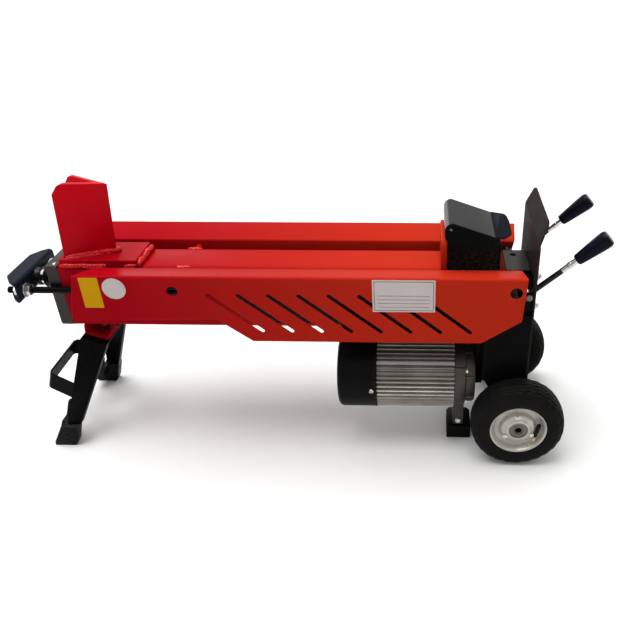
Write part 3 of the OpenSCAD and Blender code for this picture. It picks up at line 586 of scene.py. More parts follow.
def build_wedge():
    plan = rounded(rect(base_lo.x, -beam_half + 1, base_hi.x, beam_half - 1), 2.5)
    piece("wedge_plate", extruded(plan, flat, base_lo.z, base_hi.z, 1.0), RED, "wedge_base")
    foot = base_hi.z
    lo, hi = box_of("splitting_wedge")
    x = base_hi.x + 2.5
    end_bead = [(x, -beam_half + 2, beam_top + 3.0), (x, beam_half - 2, beam_top + 3.0)]
    nose = [(edge_x - 5, -5, foot + 1), (edge_x + 3, 0, foot + 2.4), (edge_x - 5, 5, foot + 1)]
    beads = [bead(nose, 5.5, 3.5, 0.18, seed=2), bead(end_bead, 6.4, 4.4, 0.2, seed=7)]
    for side, seed in ((-1, 8), (1, 11)):
        start = Vector((edge_x - 3, side * 2.5, foot + 2.2))
        end = Vector((lo.x + 4, side * (hi.y + 1.2), foot + 1.6))
        outer = [start + Vector((-2, side * 2.2, -2.4)), end + Vector((0, side * 2.5, -2.4))]
        corner = [(x - 3, side * (beam_half - 1), beam_top + 1.5),
            (x - 22, side * (beam_half - 0.2), beam_top + 1)]
        edge = [(base_lo.x + 3, side * (beam_half - 0.6), beam_top + 1.2),
            (edge_x - 6, side * (beam_half - 0.4), beam_top + 1.2)]
        beads += [bead([start, end], 5.6, 4.2, 0.2, seed=side + 4),
            bead(outer, 5.0, 4.6, 0.2, seed=side + 9), bead(corner, 3.6, 3.6, 0.18, seed=seed),
            bead(edge, 4.2, 4.4, 0.2, seed=13 + side)]
    piece("wedge_welds", joined(*beads), WELD, "weld_beads", sharp=80)


# ---- side panels

panel_lo, panel_hi = box_of("side_panel_far")
skirt_y, lip_y, panel_top, lip_top = panel_hi.y, panel_lo.y, 336.0, 324.0
sheet = 2.0
lip_bolts = ((117, 310), (629, 311))           # X from the cutting edge, and Z


def panel(left_corner):
    """The folded panel of the +Y side, cut flat and then bent."""
    low = panel_lo.z
    skirt = panel_top - low
    slope = hypot(skirt_y - lip_y, panel_top - lip_top)
    e = edge_x
    flange = skirt + slope
    lip = flange + 24
    outline = rounded([(e + left_corner + 10, lip), (e + left_corner + 11, flange - 2),
        (e + left_corner, skirt), (e - 47, 36), (e + 178, 38.8), (e + 229, 0), (e + 581, 0),
        (e + 640.6, 40), (e + 645, skirt + 2), (e + 642, flange - 6), (e + 636, lip)],
        [0.5, 3, 6, 5, 4, 4, 5, 6, 7, 5, 0.5], 5)
    holes = [slot((x, 304 - low), (x + 76, 241.5 - low), 3.1)
        for x in (e + 169.6 + 45.4 * i for i in range(8))]
    for (x, z), access in zip(lip_bolts, (8.5, 9.2)):
        holes += [circle(e + x, z - low, access, 40), circle(e + x, flange + (lip_top - z), 4.3, 24)]
    bm = plate(outline, holes, sheet, 0.4)
    path = [(skirt_y, low), (skirt_y, panel_top), (lip_y, lip_top), (lip_y, lip_top - 24)]
    return folded(bm, path, 3.5, lambda u, p, q: Vector((u, p, q)), 6)


def build_panels():
    piece("panel_far", panel(-46), RED, "side_panel_far", sharp=28)
    piece("panel_near", flipped(panel(-29)), RED, "side_panel_near", sharp=28)
    hardware = []
    for node_side in (1, -1):
        for x, z in lip_bolts:
            at = Vector((edge_x + x, node_side * (lip_y + sheet), z))
            out = Vector((0, node_side, 0))
            hardware += [*nut(4, 7.5, 1.6, 12.6, 7, at, out, 12 + x),
                lathe([(0, -18), (3.95, -18), (3.95, 9), (3.4, 9.8), (0, 9.8)], at, out, 24)]
    piece("panel_bolt_set", joined(*hardware), ZINC, "frame_bolts")


def sticker(name, finish, lift, *plates):
    """Thin plates laid on the near skirt, drawn in X and Z."""
    bm = joined(*plates)
    for vert in bm.verts:
        vert.co = Vector((vert.co.x, -skirt_y - lift - vert.co.z, vert.co.y))
    piece(name, bm, finish)


def build_labels():
    e = edge_x
    blanks = [("label_caution", YELLOW, rounded(rect(e - 20, 281, e + 9, 333), 1.2)),
        ("label_round", WHITE, circle(e + 30.5, 314.5, 17.7, 64)),
        ("label_plate", WHITE, rounded(rect(e + 416, 278, e + 509.5, 333), 1.5))]
    for name, finish, outline in blanks:
        sticker(name, finish, 0.12, plate(outline, (), 0.25, 0.08))
    x0, x1, z0, z1 = e + 418.5, e + 507, 280.5, 330.5
    border = rect(x0, z0, x1, z1)
    lines = [plate(rect(x0 + 5, z, x1 - 5, z + 0.5), (), 0.1, 0.02)
        for z in (z0 + 6 + k * 6.4 for k in range(4))]
    sticker("label_rules", INK, 0.4, plate(border, [inset(border, 0.8)], 0.1, 0.02), *lines)


# ---- cap, gland and valve block

def build_ends():
    lo, hi = box_of("front_cap")
    body = rounded(rect(-beam_half, lo.z, beam_half, hi.z), [7, 7, 1.5, 1.5], 6)
    bore = circle(0, rod_z, 13.2, 48)
    cap = extruded(body, lengthwise, lo.x, hi.x, 0.8, holes=[bore])
    piece("end_cap", cap, MILLED, "front_cap")
    g_lo, g_hi = box_of("gland_nut")
    rings = []
    pitch = (g_hi.x - g_lo.x) / 5
    for h in (k * pitch for k in range(5)):
        rings += [(16.2, h), (16.2, h + 0.9), (18, h + 1.4), (18, h + pitch - 0.6), (17.4, h + pitch)]
    profile = [(13.1, 0)] + rings + [(13.1, g_hi.x - g_lo.x)]
    piece("gland", lathe(profile, (g_lo.x, 0, rod_z), X, 64, closed=True), SATIN, "gland_nut")
    screws = [button_screw(5, 3.6, (lo.x, y, z), -X)
        for y in (-24, 24) for z in (beam_lo.z + 12, beam_top - 10)]
    screws.append(button_screw(3.6, 2.2, (hi.x - 7, -26, beam_top), Z))
    motor = joint("rotor_spin")
    cover_hi = box_of("fan_cover")[1]
    for k in range(3):
        a = radians(120 * k)
        out = Vector((0, -cos(a), -sin(a)))
        screws.append(button_screw(4, 2.2, Vector((cover_hi.x - 8, motor.y, motor.z)) + out * 62.4,
            out))
    piece("screws", joined(*screws), ZINC, "small_screws")
    lo, hi = box_of("valve_block")
    body = rounded(rect(lo.x, -beam_half, hi.x, beam_half), 1.5, 3)
    block_mesh = extruded(body, flat, lo.z, beam_top, 1.0, holes=[circle(lo.x + 17, 17, 4.4, 32)])
    bosses = both(lathe(rect(0, 0, 6.2, lip_y - beam_half), (edge_x + 629, beam_half, 311), Y, 32))
    piece("end_block", joined(block_mesh, bosses), MILLED, "valve_block")


# ---- the ram

def build_ram():
    cover_lo, cover_hi = box_of("pusher_cover")
    half, top, low = cover_hi.y, cover_hi.z, cover_lo.z
    nose = cover_lo.x
    front = nose + 5
    back = front + 80
    upper = [(front, beam_top + 1.5), (front, 369.5), (nose + 0.6, 374.5), (nose, 379)]
    upper += arc(nose + 12, top - 12, 12, 180, 90, 12)
    upper += [(back - 18, 380.6), (back - 8, 377), (back - 2.5, 374.5), (back, 366),
        (back, beam_top + 1.5)]
    bm = extruded(upper, across, 0.8 - half, half - 0.8, 1.0)
    piece("pusher_block", bm, SATIN, "pusher_cover", on="ram", sharp=35)
    walls = both(extruded(inset(upper[::-1], 0.3), across, half - 1.2, half, 0.5))
    cheeks = both(block((front, beam_half + 2.2, low), (back, half - 0.05, beam_top + 4), 1.2, 3))
    piece("pusher_walls", joined(walls, cheeks), BLACK, on="ram", sharp=35)
    tongue = rounded([(back - 10, -46), (back + 5, -46), (back + 17, -30), (back + 17.5, 20),
        (back + 14, 48), (back - 10, 48)], [1, 10, 22, 30, 12, 1], 8)
    lip = plate(tongue, (), 2.4, 0.9)
    for v in lip.verts:
        climb = max(0.0, 1 - max(v.co.x - (back - 10), 0) / 12)
        v.co.z += 373.4 + 2.6 * climb * climb
    piece("pusher_tongue", lip, FLAP, on="ram")
    rivet = button_screw(2.4, 0.8, (front + 4, -half, top - 10), -Y)
    piece("pusher_rivets", both(rivet), DARK, on="ram")
    lo, hi = box_of("push_plate")
    face = rounded(rect(-hi.y, lo.z, hi.y, hi.z), [1, 1, 9, 9], 6)
    piece("push_face", extruded(face, lengthwise, lo.x, hi.x, 1.4), RED, "push_plate", on="ram")
    build_yoke()
    lo, hi = box_of("tie_rods")
    r, length, thread = 5.5, hi.x - lo.x, []
    for h in (k * 1.75 for k in range(25)):
        thread += [(r - 0.55, h), (r, h + 0.6), (r, h + 0.9), (r - 0.55, h + 1.6)]
    profile = [(0, 0), (r - 1.6, 0), *thread, (r, 45), (r, length - 1), (r - 1, length), (0, length)]
    rods = [lathe(profile, (lo.x, side * tie_y, tie_z), X, 40) for side in (-1, 1)]
    piece("pull_rods", joined(*rods), BLACK, "tie_rods", on="ram", sharp=50)


def build_yoke():
    lo, hi = box_of("yoke")
    web_x, tip = hi.x, lo.x
    flange = web_x - tip
    height = hi.z - lo.z
    half = hi.y
    run = 2 * flange + height
    wide, narrow = half - 1, 36
    corner = [(narrow, 0), (wide - 8, flange - 16), (wide, flange - 7), (wide, flange + 4)]
    edge = corner + [(u, run - v) for u, v in reversed(corner)]
    outline = rounded(edge + [(-u, v) for u, v in reversed(edge)], [8, 9, 9, 1, 1, 9, 9, 8] * 2, 4)
    holes = [circle(side * tie_y, flange + height / 2 - 4, 5.6, 28) for side in (-1, 1)]
    bm = plate(outline, holes, 5, 0.9)
    path = rect(tip, lo.z, web_x, hi.z)
    piece("pull_yoke", folded(bm, path, 6.5, lambda u, p, q: Vector((p, u, q)), 6), BLUE_SHEEN_BLACK, "yoke",
        on="ram")
    bright, dark = [], []
    inner, outer = web_x, web_x - 5
    for side in (-1, 1):
        y, z = side * tie_y, tie_z
        bright += [*nut(5.6, 11.5, 2.2, 16, 10.5, (inner, y, z), X, 10 * side, 1.4),
            *nut(5.6, 9.8, 2.2, 16, 11, (outer, y, z), -X, 25, 1.4)]
    dark += [hexagon(20.4, 0, 9, (outer, 0, rod_z), -X, 0, 1.6),
        lathe([(9, 0), (15, 0), (15, 8), (14, 9), (9, 9)], (inner, 0, rod_z), X, 48, closed=True),
        from_cad_part("ram_nuts", lambda x: x > 0)]
    piece("yoke_nuts", joined(*bright), ZINC, "ram_nuts", on="ram")
    piece("rod_nuts", joined(*dark), SATIN, on="ram")


def from_cad_part(node, keep):
    """The solids of a CAD node that pass a test on X."""
    bm = from_cad(node, 0)
    bmesh.ops.delete(bm, geom=[v for v in bm.verts if not keep(v.co.x)], context="VERTS")
    return bm


# ---- guard, wheel bracket, levers

def build_guard():
    lo, hi = box_of("end_plate")
    plane = lo.x
    half = hi.y
    bend, low = 379, lo.z
    top = bend - low + hypot(hi.z - bend, 12.7)
    outline = rounded([(-half, 0), (half, 0), (half, bend - low + 5), (78, top - 3), (70, top),
        (-59, top), (-66, top - 4), (-half, bend - low - 8)], [2, 2, 8, 8, 4, 8, 10, 6], 6)
    bolts = [(y, z) for y in (-25, 25) for z in (247, 299)]
    domed = [(y, z) for y in (-53.5, 53.5) for z in (264, 316)]
    holes = [circle(y, z - low, 4.3, 20) for y, z in bolts]
    pull = joint("lever_near_pull")
    holes.append(rounded(rect(pull.y - 6, pull.z - 4 - low, pull.y + 6, pull.z + 18 - low), 1.5))
    bm = plate(outline, holes, 3, 0.5)
    lean = Vector((12.7, hi.z - bend))
    path = [(plane, low), (plane, bend), (plane + lean.x, bend + lean.y)]
    bm = folded(bm, path, 5, lambda u, p, q: Vector((p, u, q)), 6)
    bmesh.ops.translate(bm, vec=(3, 0, 0), verts=bm.verts)
    piece("guard", bm, GUARD, "end_plate", sharp=30)
    nuts = []
    face = plane + 3
    for y, z in bolts:
        at = (face, y, z)
        nuts += [*nut(4, 8, 1.8, 13, 8, at, X, 15), lathe([(0, 8), (3.9, 8), (3.9, 9.4), (3.3, 10),
            (0, 10)], at, X, 24)]
    dome = [(5 * cos(a), 5.5 + 5.5 * sin(a)) for a in (pi / 2 * k / 6 for k in range(6))]
    for y, z in domed:
        at = (face, y, z)
        nuts += [*nut(3, 7, 1.2, 10, 5.5, at, X, 15), lathe([(0, 4), (5, 4), *dome, (0, 11)], at, X,
            32)]
    piece("guard_nuts", joined(*nuts), ZINC, "plate_bolts")


def build_wheel_bracket():
    lo, hi = box_of("wheel_bracket")
    half, front, rear, high = hi.y, lo.x, hi.x, hi.z
    turn_in = 14
    depth = rear - front
    at = lambda x: turn_in + (x - front)
    outline = rounded([(high, 0), (141, 0), (141, turn_in - 1), (141, at(front) + 2),
        (121, at(edge_x + 601)), (58, at(edge_x + 632)), (58, turn_in + depth), (264, turn_in + depth),
        (264, at(edge_x + 606)), (high, at(edge_x + 600))], [1, 5, 1, 1, 5, 10, 8, 3, 2, 3], 5)
    wheel = joint("wheel_far_spin")
    hole = circle(wheel.z, at(wheel.x), 7.6, 32)
    bm = plate(outline, [hole], 3, 0.5)
    path = [(front, half - turn_in), (front, half), (rear, half)]
    bm = folded(bm, path, 4, lambda u, p, q: Vector((p, q, u)), 6)
    lip = plate(rounded(rect(58, 0, 264, 9), 2), (), 2.6, 0.5)
    for v in lip.verts:
        v.co = Vector((rear - 0.4 - v.co.z, half - 3.2 - v.co.y, v.co.x))
    web = block((rear - 3, -half + 3.5, 96), (rear, half - 3.5, beam_lo.z - 0.5), 0.6)
    piece("bracket", joined(both(joined(bm, lip)), web), BLACK, "wheel_bracket", sharp=30)
    a_lo, a_hi = box_of("wheel_axle")
    span = a_hi.y - a_lo.y
    profile = doubled([(0, 16), (5.4, 16), (5.4, 0.4), (5.8, 0), (6.9, 0), (7.5, 0.7)], span)
    piece("axle", lathe(profile, (wheel.x, a_lo.y, wheel.z), Y, 48), DARK, "wheel_axle")
    clips = both(washer(7.52, 11, 1.0, (wheel.x, half, wheel.z), Y))
    piece("axle_washers", clips, ZINC, "axle_clips")


def build_lever(side, name):
    body = "lever_" + name
    pivot = joint(body + "_pull")
    rise = radians(41.8)
    out = Vector((cos(rise), 0, sin(rise)))
    outward = (pivot.x - joint("lever_near_pull").x) / cos(rise)
    grip = 146.5 - 58 - outward
    rod = lathe(rect(0, 4, 4.3, grip - 26), pivot, out, 40)
    hub = lathe([(3.58, -6), (5.9, -6), (6.5, -5.5), (6.5, 5.5), (5.9, 6), (3.58, 6)], pivot, Y, 48,
        closed=True)
    cam = block(pivot + Vector((-4, -3 - 2 * side, -25)), pivot + Vector((4, 3 - 2 * side, -4)), 1, 3)
    piece("lever_rod_" + name, rod, SATIN, "lever_" + name, on=body)
    piece("lever_hub_" + name, joined(hub, cam), ZINC, on=body)
    sleeve = lathe([(0, grip - 26), (4.6, grip - 26), (4.6, grip - 15), (5.3, grip - 14),
        (5.3, grip - 9), (4.9, grip - 8.4), (4.9, grip + 5), (0, grip + 5)], pivot, out, 40)
    piece("lever_sleeve_" + name, sleeve, ZINC, on=body)
    flare = [(0, 0.0), (6.6, 0), (7.6, 0.5), (8.6, 2.2)]
    flare += [(8.6 + 4.1 * (k / 8) ** 0.9, 2.2 + 42 * k / 8) for k in range(1, 9)]
    flare += [(12.95, 49), (12.9, 52.5), (12.3, 55), (11.4, 56.2)]
    start = pivot + out * grip
    piece("grip_shell_" + name, lathe(flare + [(0, 56.3)], start, out, 64), GRIP, "grip_" + name,
        on=body, sharp=50)
    cap = [(0, 58), (10.2, 58), (11.2, 57.4), (11.5, 56.4), (10.6, 56.0), (0, 56.0)]
    piece("grip_cap_" + name, lathe(cap, start, out, 64), GRIP_END, on=body)


def clevis_pin(x, z, inner, outer):
    shank = [(0, inner - 1), (3, inner - 1), (3.5, inner - 0.5), (3.5, outer), (0, outer)]
    return joined(lathe(shank, (x, 0, z), Y, 32), hexagon(10.4, outer, outer + 3, (x, 0, z), Y, 10,
        0.6))


def build_levers():
    for side, name in ((-1, "near"), (1, "far")):
        build_lever(side, name)
    plane = box_of("end_plate")[0].x
    x, y, z = joint("lever_near_pull")
    inner, outer = -y - 10, -y + 6.2
    nose = [(x - 2, z + 8.5), (x - 8, z + 3)]
    ear = rounded([(plane, z - 10), (plane, z + 10)] + nose + [(x - 8, z - 3), (x - 2, z - 8.5)], 2, 4)
    cheek = rounded([(plane, z - 27), (plane, z + 10)] + nose + [(x - 12, z - 10), (x - 12, z - 27)], 2,
        4)
    tab = rounded(rect(47.5, 258, inner, 322), 2, 4)
    holes = [circle(53.5, level, 3.2, 20) for level in (264, 316)]
    near = [extruded(ear, across, inner, inner + 2.6, 0.4),
        extruded(cheek, across, outer, outer + 2.6, 0.4), extruded(tab, lengthwise, plane - 2, plane,
        0.4, holes=holes)]
    pins = [flipped(clevis_pin(x, z, inner, outer + 2.6))]
    x, y, z = joint("lever_far_pull")
    ear = rounded([(plane + 3, z - 12), (x + 8, z - 9), (x + 8, z + 9), (plane + 3, z + 12)],
        [0.5, 7, 7, 0.5], 6)
    far = [extruded(ear, across, at, at + 2.6, 0.4) for at in (inner, outer)]
    pins.append(clevis_pin(x, z, inner, outer + 2.6))
    piece("lever_brackets", joined(flipped(joined(*near)), *far), BLACK, "lever_clevis")
    piece("lever_pins", joined(*pins), DARK)


# ---- wheels

def tread(angle, across_tyre):
    """Depth of the wavy grooves that run round the tyre."""
    wave = 1.5 * asin(sin(angle * 26)) / 1.57
    depth = 0.0
    for groove in (-15.5, -8.0, 0.0, 8.0, 15.5):
        reach = abs(across_tyre - groove - wave)
        depth = max(depth, 1 - (reach / 1.5) ** 4 if reach < 1.5 else 0)
    return 2.1 * depth


def build_wheel(side, name):
    body = "wheel_" + name
    hub = joint(body + "_spin")
    tyre_lo, tyre_hi = box_of("tyre_" + name)
    radius = (tyre_hi.z - tyre_lo.z) / 2
    middle = Vector((hub.x, (tyre_lo.y + tyre_hi.y) / 2, hub.z))
    place = Matrix.Translation(middle) @ Matrix.Rotation(radians(-90 * side), 4, "X")
    sides = 208
    half = [(45.0, 21.5), (45.4, 23.2), (46.6, 24.3), (48.4, 24.0), (49.2, 24.4), (53, 24.95),
        (57, 25.0), (61, 24.7), (64, 24.2), (64.6, 24.6), (66, 24.3), (66.6, 23.6), (69, 22.6),
        (71.2, 21.2), (72.6, 20.2)]
    crown = [(radius - 0.0095 * z * z * 0.8 - (0.4 if abs(z) > 17 else 0), z)
        for z in (19.4 - 38.8 * k / 52 for k in range(53))]
    profile = half + crown + [(r, -z) for r, z in reversed(half)]
    bm = bmesh.new()
    rings = []
    for i in range(sides):
        a = 2 * pi * i / sides
        ring = []
        for r, z in profile:
            if r > radius - 5 and abs(z) < 19.4:
                r -= tread(a, z)
            elif 66 <= r <= 72.7:
                notch = 0.9 if (i % 8) < 4 else 0
                r -= notch * 0.5
                z -= copysign(notch * 0.5, z)
            ring.append(bm.verts.new((r * cos(a), r * sin(a), z)))
        rings.append(ring)
    for a, b in zip(rings, rings[1:] + rings[:1]):
        for k in range(len(profile) - 1):
            bm.faces.new((a[k], b[k], b[k + 1], a[k + 1]))
    inner = [(45.0, 21.5), (43.5, 20.5), (43.5, -20.5), (45.0, -21.5)]
    back = lathe(inner, sides=sides)
    piece("tyre_body_" + name, turned(joined(bm, back), place), TYRE, "tyre_" + name, on=body, sharp=38,
        merge=0.01)
    rim = [(45.4, 21.4), (46.0, 23.2), (45.2, 24.0), (43.9, 23.7), (42.8, 22.3), (41.8, 20.4),
        (40.4, 16.8), (38.6, 13.9), (36.5, 12.6), (33.5, 12.1), (31, 12.6), (29, 14.2), (27.6, 17.4),
        (26.4, 19.4), (24.8, 20.2), (22.4, 20.6), (20.6, 21.2), (19.2, 23.4), (17.6, 24.0),
        (15.7, 24.0), (15.6, 23.2), (15.6, 13.0), (12, 13), (12, -13), (15.6, -13), (15.6, -24),
        (19, -24), (20, -23), (20, 8), (24, 10), (30, 9), (37, 9.5), (38.4, 7), (39.6, -16),
        (42.6, -22.3), (43.9, -23.7), (45.2, -24.0), (46.0, -23.2), (45.4, -21.4), (41.6, -18.6),
        (41.2, 18.6)]
    piece("rim_disc_" + name, turned(lathe(rim, sides=128, closed=True), place), RIM, "rim_" + name,
        on=body, sharp=40)
    hardware = []
    for k in range(3):
        a = radians(95 + 120 * k)
        at = Vector((24.6 * cos(a), 24.6 * sin(a), 20.1))
        hardware += [*nut(2.6, 5.0, 0.7, 7.2, 3.0, at, Z, 20 + 30 * k, 0.5),
            lathe([(0, 3), (2.2, 3), (2.2, 3.6), (1.6, 4.0), (0, 4.0)], at, Z, 20)]
    race = doubled([(7.56, 0), (9.2, 0), (9.4, 0.8), (13.2, 0.8), (13.4, 0), (15.5, 0)], 11)
    races = [lathe(race, (0, 0, z), sides=64, closed=True) for z in (13.0, -24.0)]
    piece("rim_nuts_" + name, turned(joined(*hardware), place), ZINC, on=body)
    piece("bearing_set_" + name, turned(joined(*races), place), DARK, "bearings_" + name, on=body)
    stem_way = Vector((cos(radians(77)), sin(radians(77)), 0))
    root = Vector((25.5, -22.5, 21))
    rubber = lathe([(0, 9), (3.1, 9), (3.4, 10), (3.4, 16), (3.2, 17), (3.5, 18), (3.6, 20), (3.6, 31),
        (3.2, 33), (2.6, 34), (0, 34)], root, stem_way, 32)
    brass = lathe([(0, 0), (1.9, 0), (2.3, 0.6), (2.3, 4)] + [(2.3 - 0.25 * (k % 2), 4 + 0.6 * k)
        for k in range(1, 9)] + [(2.3, 9.2), (0, 9.2)], root, stem_way, 28)
    piece("stem_" + name, turned(rubber, place), RUBBER, "valve_stem_" + name, on=body)
    piece("stem_core_" + name, turned(brass, place), BRASS, on=body)


# ---- leg

def build_leg():
    piece("leg_fixing", from_cad_part("frame_bolts", lambda x: x < edge_x), ZINC)
    top = Vector((edge_x - 54.6, 0, 181.2))
    tilt = Matrix.Translation(top) @ Matrix.Rotation(radians(19), 4, "Y")
    strip = 32
    path = [(-13.5, 63), (-65, 51), (-65, -51), (-13.5, -63)]
    length = sum((Vector(b) - Vector(a)).length for a, b in zip(path, path[1:]))
    outline = rounded(rect(0, 0, strip, length), 1.5, 3)
    bm = plate(outline, (), 3, 0.6)
    folded(bm, path, 11, lambda u, p, q: Vector((p, q, u - 119)), 8)
    piece("handle_strip", turned(bm, tilt), BLACK, "carry_handle", sharp=30)


# ---- motor and pump

def build_motor():
    spin = joint("rotor_spin")
    axis = Vector((0, spin.y, spin.z))
    lo, hi = box_of("motor_housing")
    radius = (hi.z - lo.z) / 2
    root = radius - 8
    fins = 48
    outline = []
    for i in range(fins):
        a = 2 * pi * i / fins
        thick, tall = (3.2, radius - 0.4) if i % 12 == 6 else (1.15, radius)
        w_root, w_tip = thick + 0.55, thick - 0.3
        flank = [(root, w_root + 0.4), (root + 0.6, w_root), (tall - 0.6, w_tip), (tall, w_tip - 0.5)]
        for r, w in [(r, -w) for r, w in flank] + flank[::-1]:
            b = a + w / r
            outline.append((axis.y + r * cos(b), axis.z + r * sin(b)))
    body = extruded(outline, lengthwise, lo.x + 0.2, hi.x, 0.35, holes=[circle(axis.y, axis.z, 46, 64)])
    piece("finned_housing", body, CAST, "motor_housing", sharp=35)
    lo, hi = box_of("fan_cover")
    r = (hi.z - lo.z) / 2
    length = hi.x - lo.x
    shell = [(r, 0)] + [(r - 0.15, 0.4 * length)] + arc(r - 9, length - 9, 8.8, 0, 90, 8)
    shell = shell + [(50, length), (50, length - 2), (r - 9, length - 2)]
    shell += arc(r - 9, length - 9, 6.8, 90, 0, 8) + [(r - 2, 0)]
    cover = lathe(shell, (hi.x, axis.y, axis.z), -X, 128, closed=True)
    slots = []
    for ring, (a, b, count) in enumerate(((15, 26, 16), (29, 45, 28))):
        for k in range(count):
            t = 2 * pi * (k + 0.5 * ring) / count
            c = Vector((cos(t), sin(t)))
            slots.append(slot(c * a, c * b, 1.9 if ring else 1.5, 5))
    grille = plate(circle(0, 0, 50.4, 128), slots, 2, 0.3)
    turned(grille, along((lo.x + 2, axis.y, axis.z), -X))
    piece("fan_shroud", joined(cover, grille), PLASTIC, "fan_cover", sharp=40)
    build_bell(axis)


def build_bell(axis):
    lo, hi = box_of("bell_housing")
    x0, x1 = lo.x, hi.x
    step = x0 + 18
    parts = [lathe([(46, 0), (57.4, 0), (58, 0.6), (58, 16), (57, 17.6), (52.6, 18.4), (52, 19),
        (52, x1 - x0 - 3), (50.6, x1 - x0 - 0.6), (49, x1 - x0), (10, x1 - x0), (10, x1 - x0 - 2),
        (46, 10)], (x0, axis.y, axis.z), X, 96, closed=True)]
    screws = []
    for a in (35, 145, 215, 325):
        t = radians(a)
        at = Vector((x0, axis.y + 54.5 * cos(t), axis.z + 54.5 * sin(t)))
        parts.append(lathe([(0, 0), (6, 0), (6, 16.5), (5, 17.5), (0, 17.5)], at, X, 24))
        screws += nut(2.6, 5.2, 0.8, 8, 4.2, at + X * 17.5, X, a)
    for k in range(8):
        t = radians(22.5 + 45 * k)
        rib = block((-0.5, -1.8, 49), (x1 - step - 2, 1.8, 54.6), 0.8)
        turned(rib, Matrix.Translation((step, axis.y, axis.z)) @ Matrix.Rotation(t - pi / 2, 4, "X"))
        parts.append(rib)
    leg = rounded([(-62, 26), (-18, 26), (-18, 75), (-6, 84), (-6, 96), (-70, 96), (-70, 84),
        (-62, 75)], [2, 2, 8, 5, 3, 3, 5, 8], 5)
    parts.append(extruded(leg, lengthwise, x0 + 1, x0 + 19, 1.3))
    piece("drive_end_bell", joined(*parts), BELL, "bell_housing", sharp=38)
    at = Vector((x0 + 10, -62, 36))
    screws += [*nut(2.6, 5, 0.8, 8, 3.6, at, -Y, 10)]
    piece("bell_screws", joined(*screws), ZINC)
    lo, hi = box_of("pump_housing")
    split = lo.x + 13
    flange = rounded(rect(-62, lo.z, -14, hi.z), [9, 9, 2, 2], 6)
    body = rounded(rect(-58, lo.z, -18, hi.z), [12, 12, 2, 2], 6)
    pump = [extruded(flange, lengthwise, lo.x, split, 1.2, holes=[circle(axis.y, axis.z, 12.7, 32)]),
        extruded(body, lengthwise, split - 0.02, hi.x, 1.5)]
    piece("pump_body", joined(*pump), BLACK, "pump_housing")


# ---- shapes kept from the CAD

# For each body: piece, node, finish, then the width, segments and angle of its eased edges
CARRIED = {
    "chassis": [
        ("cylinder", "cylinder_tube", GREY, 0), ("wedge", "splitting_wedge", CRIMSON, 1.3, 3, 25),
        ("capacitor_case", "capacitor_box", PLASTIC, 2, 3),
        ("oil_plug_screw", "oil_plug", PLASTIC, 0.2), ("valve_body", "control_valve", CAST, 1.5, 3),
        ("switch_housing", "switch_box", PLASTIC, 1.5, 3),
        ("cable_inlet", "cable_gland", PLASTIC, 0.5), ("leg_hanger", "leg_bracket", RED, 0.8, 2),
        ("leg", "support_leg", BLACK, 0.7, 2), ("feet", "foot_caps", PLASTIC, 1.6, 3),
        ("foot_block", "motor_foot", PLASTIC, 1.2, 3), ("stator_pack", "stator", COPPER, 0.4),
        ("ball_races", "motor_bearings", ZINC, 0.2)],
    "ram": [
        ("pusher_core", "pusher_frame", BLACK, 0.4), ("rod", "piston_rod", CHROME, 0.3),
        ("piston_head", "piston", ZINC, 0.3)],
    "valve_spool": [
        ("spool", "valve_spool", CHROME, 0.3)],
    "rotor": [
        ("shaft", "rotor_shaft", ZINC, 0.5), ("rotor_pack", "rotor_core", COPPER, 0.4),
        ("fan", "cooling_fan", PLASTIC, 0.3), ("gear_drive", "drive_gear", ZINC, 0.15)],
    "driven_gear": [
        ("gear_driven", "driven_gear", ZINC, 0.15)],
}


def build_carried():
    for body, rows in CARRIED.items():
        for name, node, finish, *edges in rows:
            piece(name, from_cad(node, *edges), finish, node, on=body)


# ---- studio

def camera():
    yaw, pitch, roll = radians(-1.7125), radians(30.6135), radians(-0.4049)
    forward = Vector((sin(yaw) * cos(pitch), cos(yaw) * cos(pitch), -sin(pitch)))
    level = Vector((cos(yaw), -sin(yaw), 0))
    up = level.cross(forward)
    right = level * cos(roll) + up * sin(roll)
    up = up * cos(roll) - level * sin(roll)
    data = bpy.data.cameras.new("camera")
    data.lens = 39.77
    data.sensor_width = 36.0
    data.shift_x = -0.1542
    data.shift_y = -0.028
    cam = add_object("camera", data)
    spot = Vector((edge_x + 491.5, -968, 826.6)) * MM
    cam.matrix_world = Matrix.Translation(spot) @ Matrix((right, up, -forward)).transposed().to_4x4()
    bpy.context.scene.camera = cam


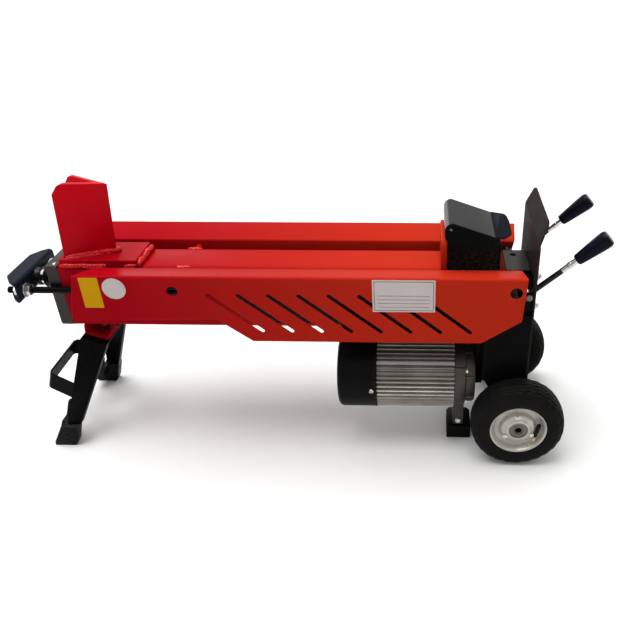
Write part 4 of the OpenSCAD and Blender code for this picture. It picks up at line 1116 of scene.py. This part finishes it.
def soft_box(name, place, aim, size, power, tint=(1, 1, 1)):
    data = bpy.data.lights.new(name, "AREA")
    data.shape = "RECTANGLE"
    data.size, data.size_y = size
    data.energy = power
    data.color = tint
    light = add_object(name, data)
    light.location = place
    light.rotation_euler = (Vector(aim) - Vector(place)).to_track_quat("-Z", "Y").to_euler()
    light.visible_camera = False


def studio():
    world = bpy.data.worlds.new("studio")
    world.use_nodes = True
    tree = world.node_tree
    add = adder(tree)
    view = add("SeparateXYZ", {0: add("TexCoord")["Generated"]})
    sky = add("ValToRGB", {0: view[2]})[0]
    elements = sky.node.color_ramp.elements
    stops = [(0.0, 1.75), (0.13, 1.3), (0.22, 0.3), (0.34, 0.5), (0.62, 1.6), (1.0, 1.25)]
    while len(elements) < len(stops):
        elements.new(0.5)
    for element, (at, level) in zip(elements, stops):
        element.position = at
        element.color = (level, level * 0.995, level * 0.985, 1)
    depth = add("MapRange", {"From Min": -0.6, "To Min": 0.42, "To Max": 1.4, "Value": view[1]})[0]
    back = tree.nodes["Background"].inputs
    tree.links.new(sky, back[0])
    tree.links.new(depth, back[1])
    bpy.context.scene.world = world
    bpy.context.scene.view_settings.view_transform = "Standard"
    bm = bmesh.new()
    bmesh.ops.create_grid(bm, x_segments=1, y_segments=1, size=9)
    mesh = bpy.data.meshes.new("floor")
    bm.to_mesh(mesh)
    bm.free()
    mesh.materials.append(FLOOR)
    floor = add_object("floor", mesh)
    floor.location.z = -0.0004
    data = bpy.data.lights.new("key", "SUN")
    data.energy = 3.35
    data.angle = radians(45)
    add_object("key", data).rotation_euler = (0, radians(-14), 0)
    soft_box("front", (1.0, -2.2, 0.9), (0.1, 0, 0.25), (1.0, 0.8), 3, (1, 0.86, 0.7))
    soft_box("strip", (-1.3, 2.6, 1.3), (0.2, 0, 0.35), (0.5, 0.9), 6)


build_beam()
build_wedge()
build_panels()
build_labels()
build_ends()
build_ram()
build_guard()
build_wheel_bracket()
build_levers()
build_wheel(-1, "near")
build_wheel(1, "far")
build_leg()
build_motor()
build_carried()
camera()
studio()
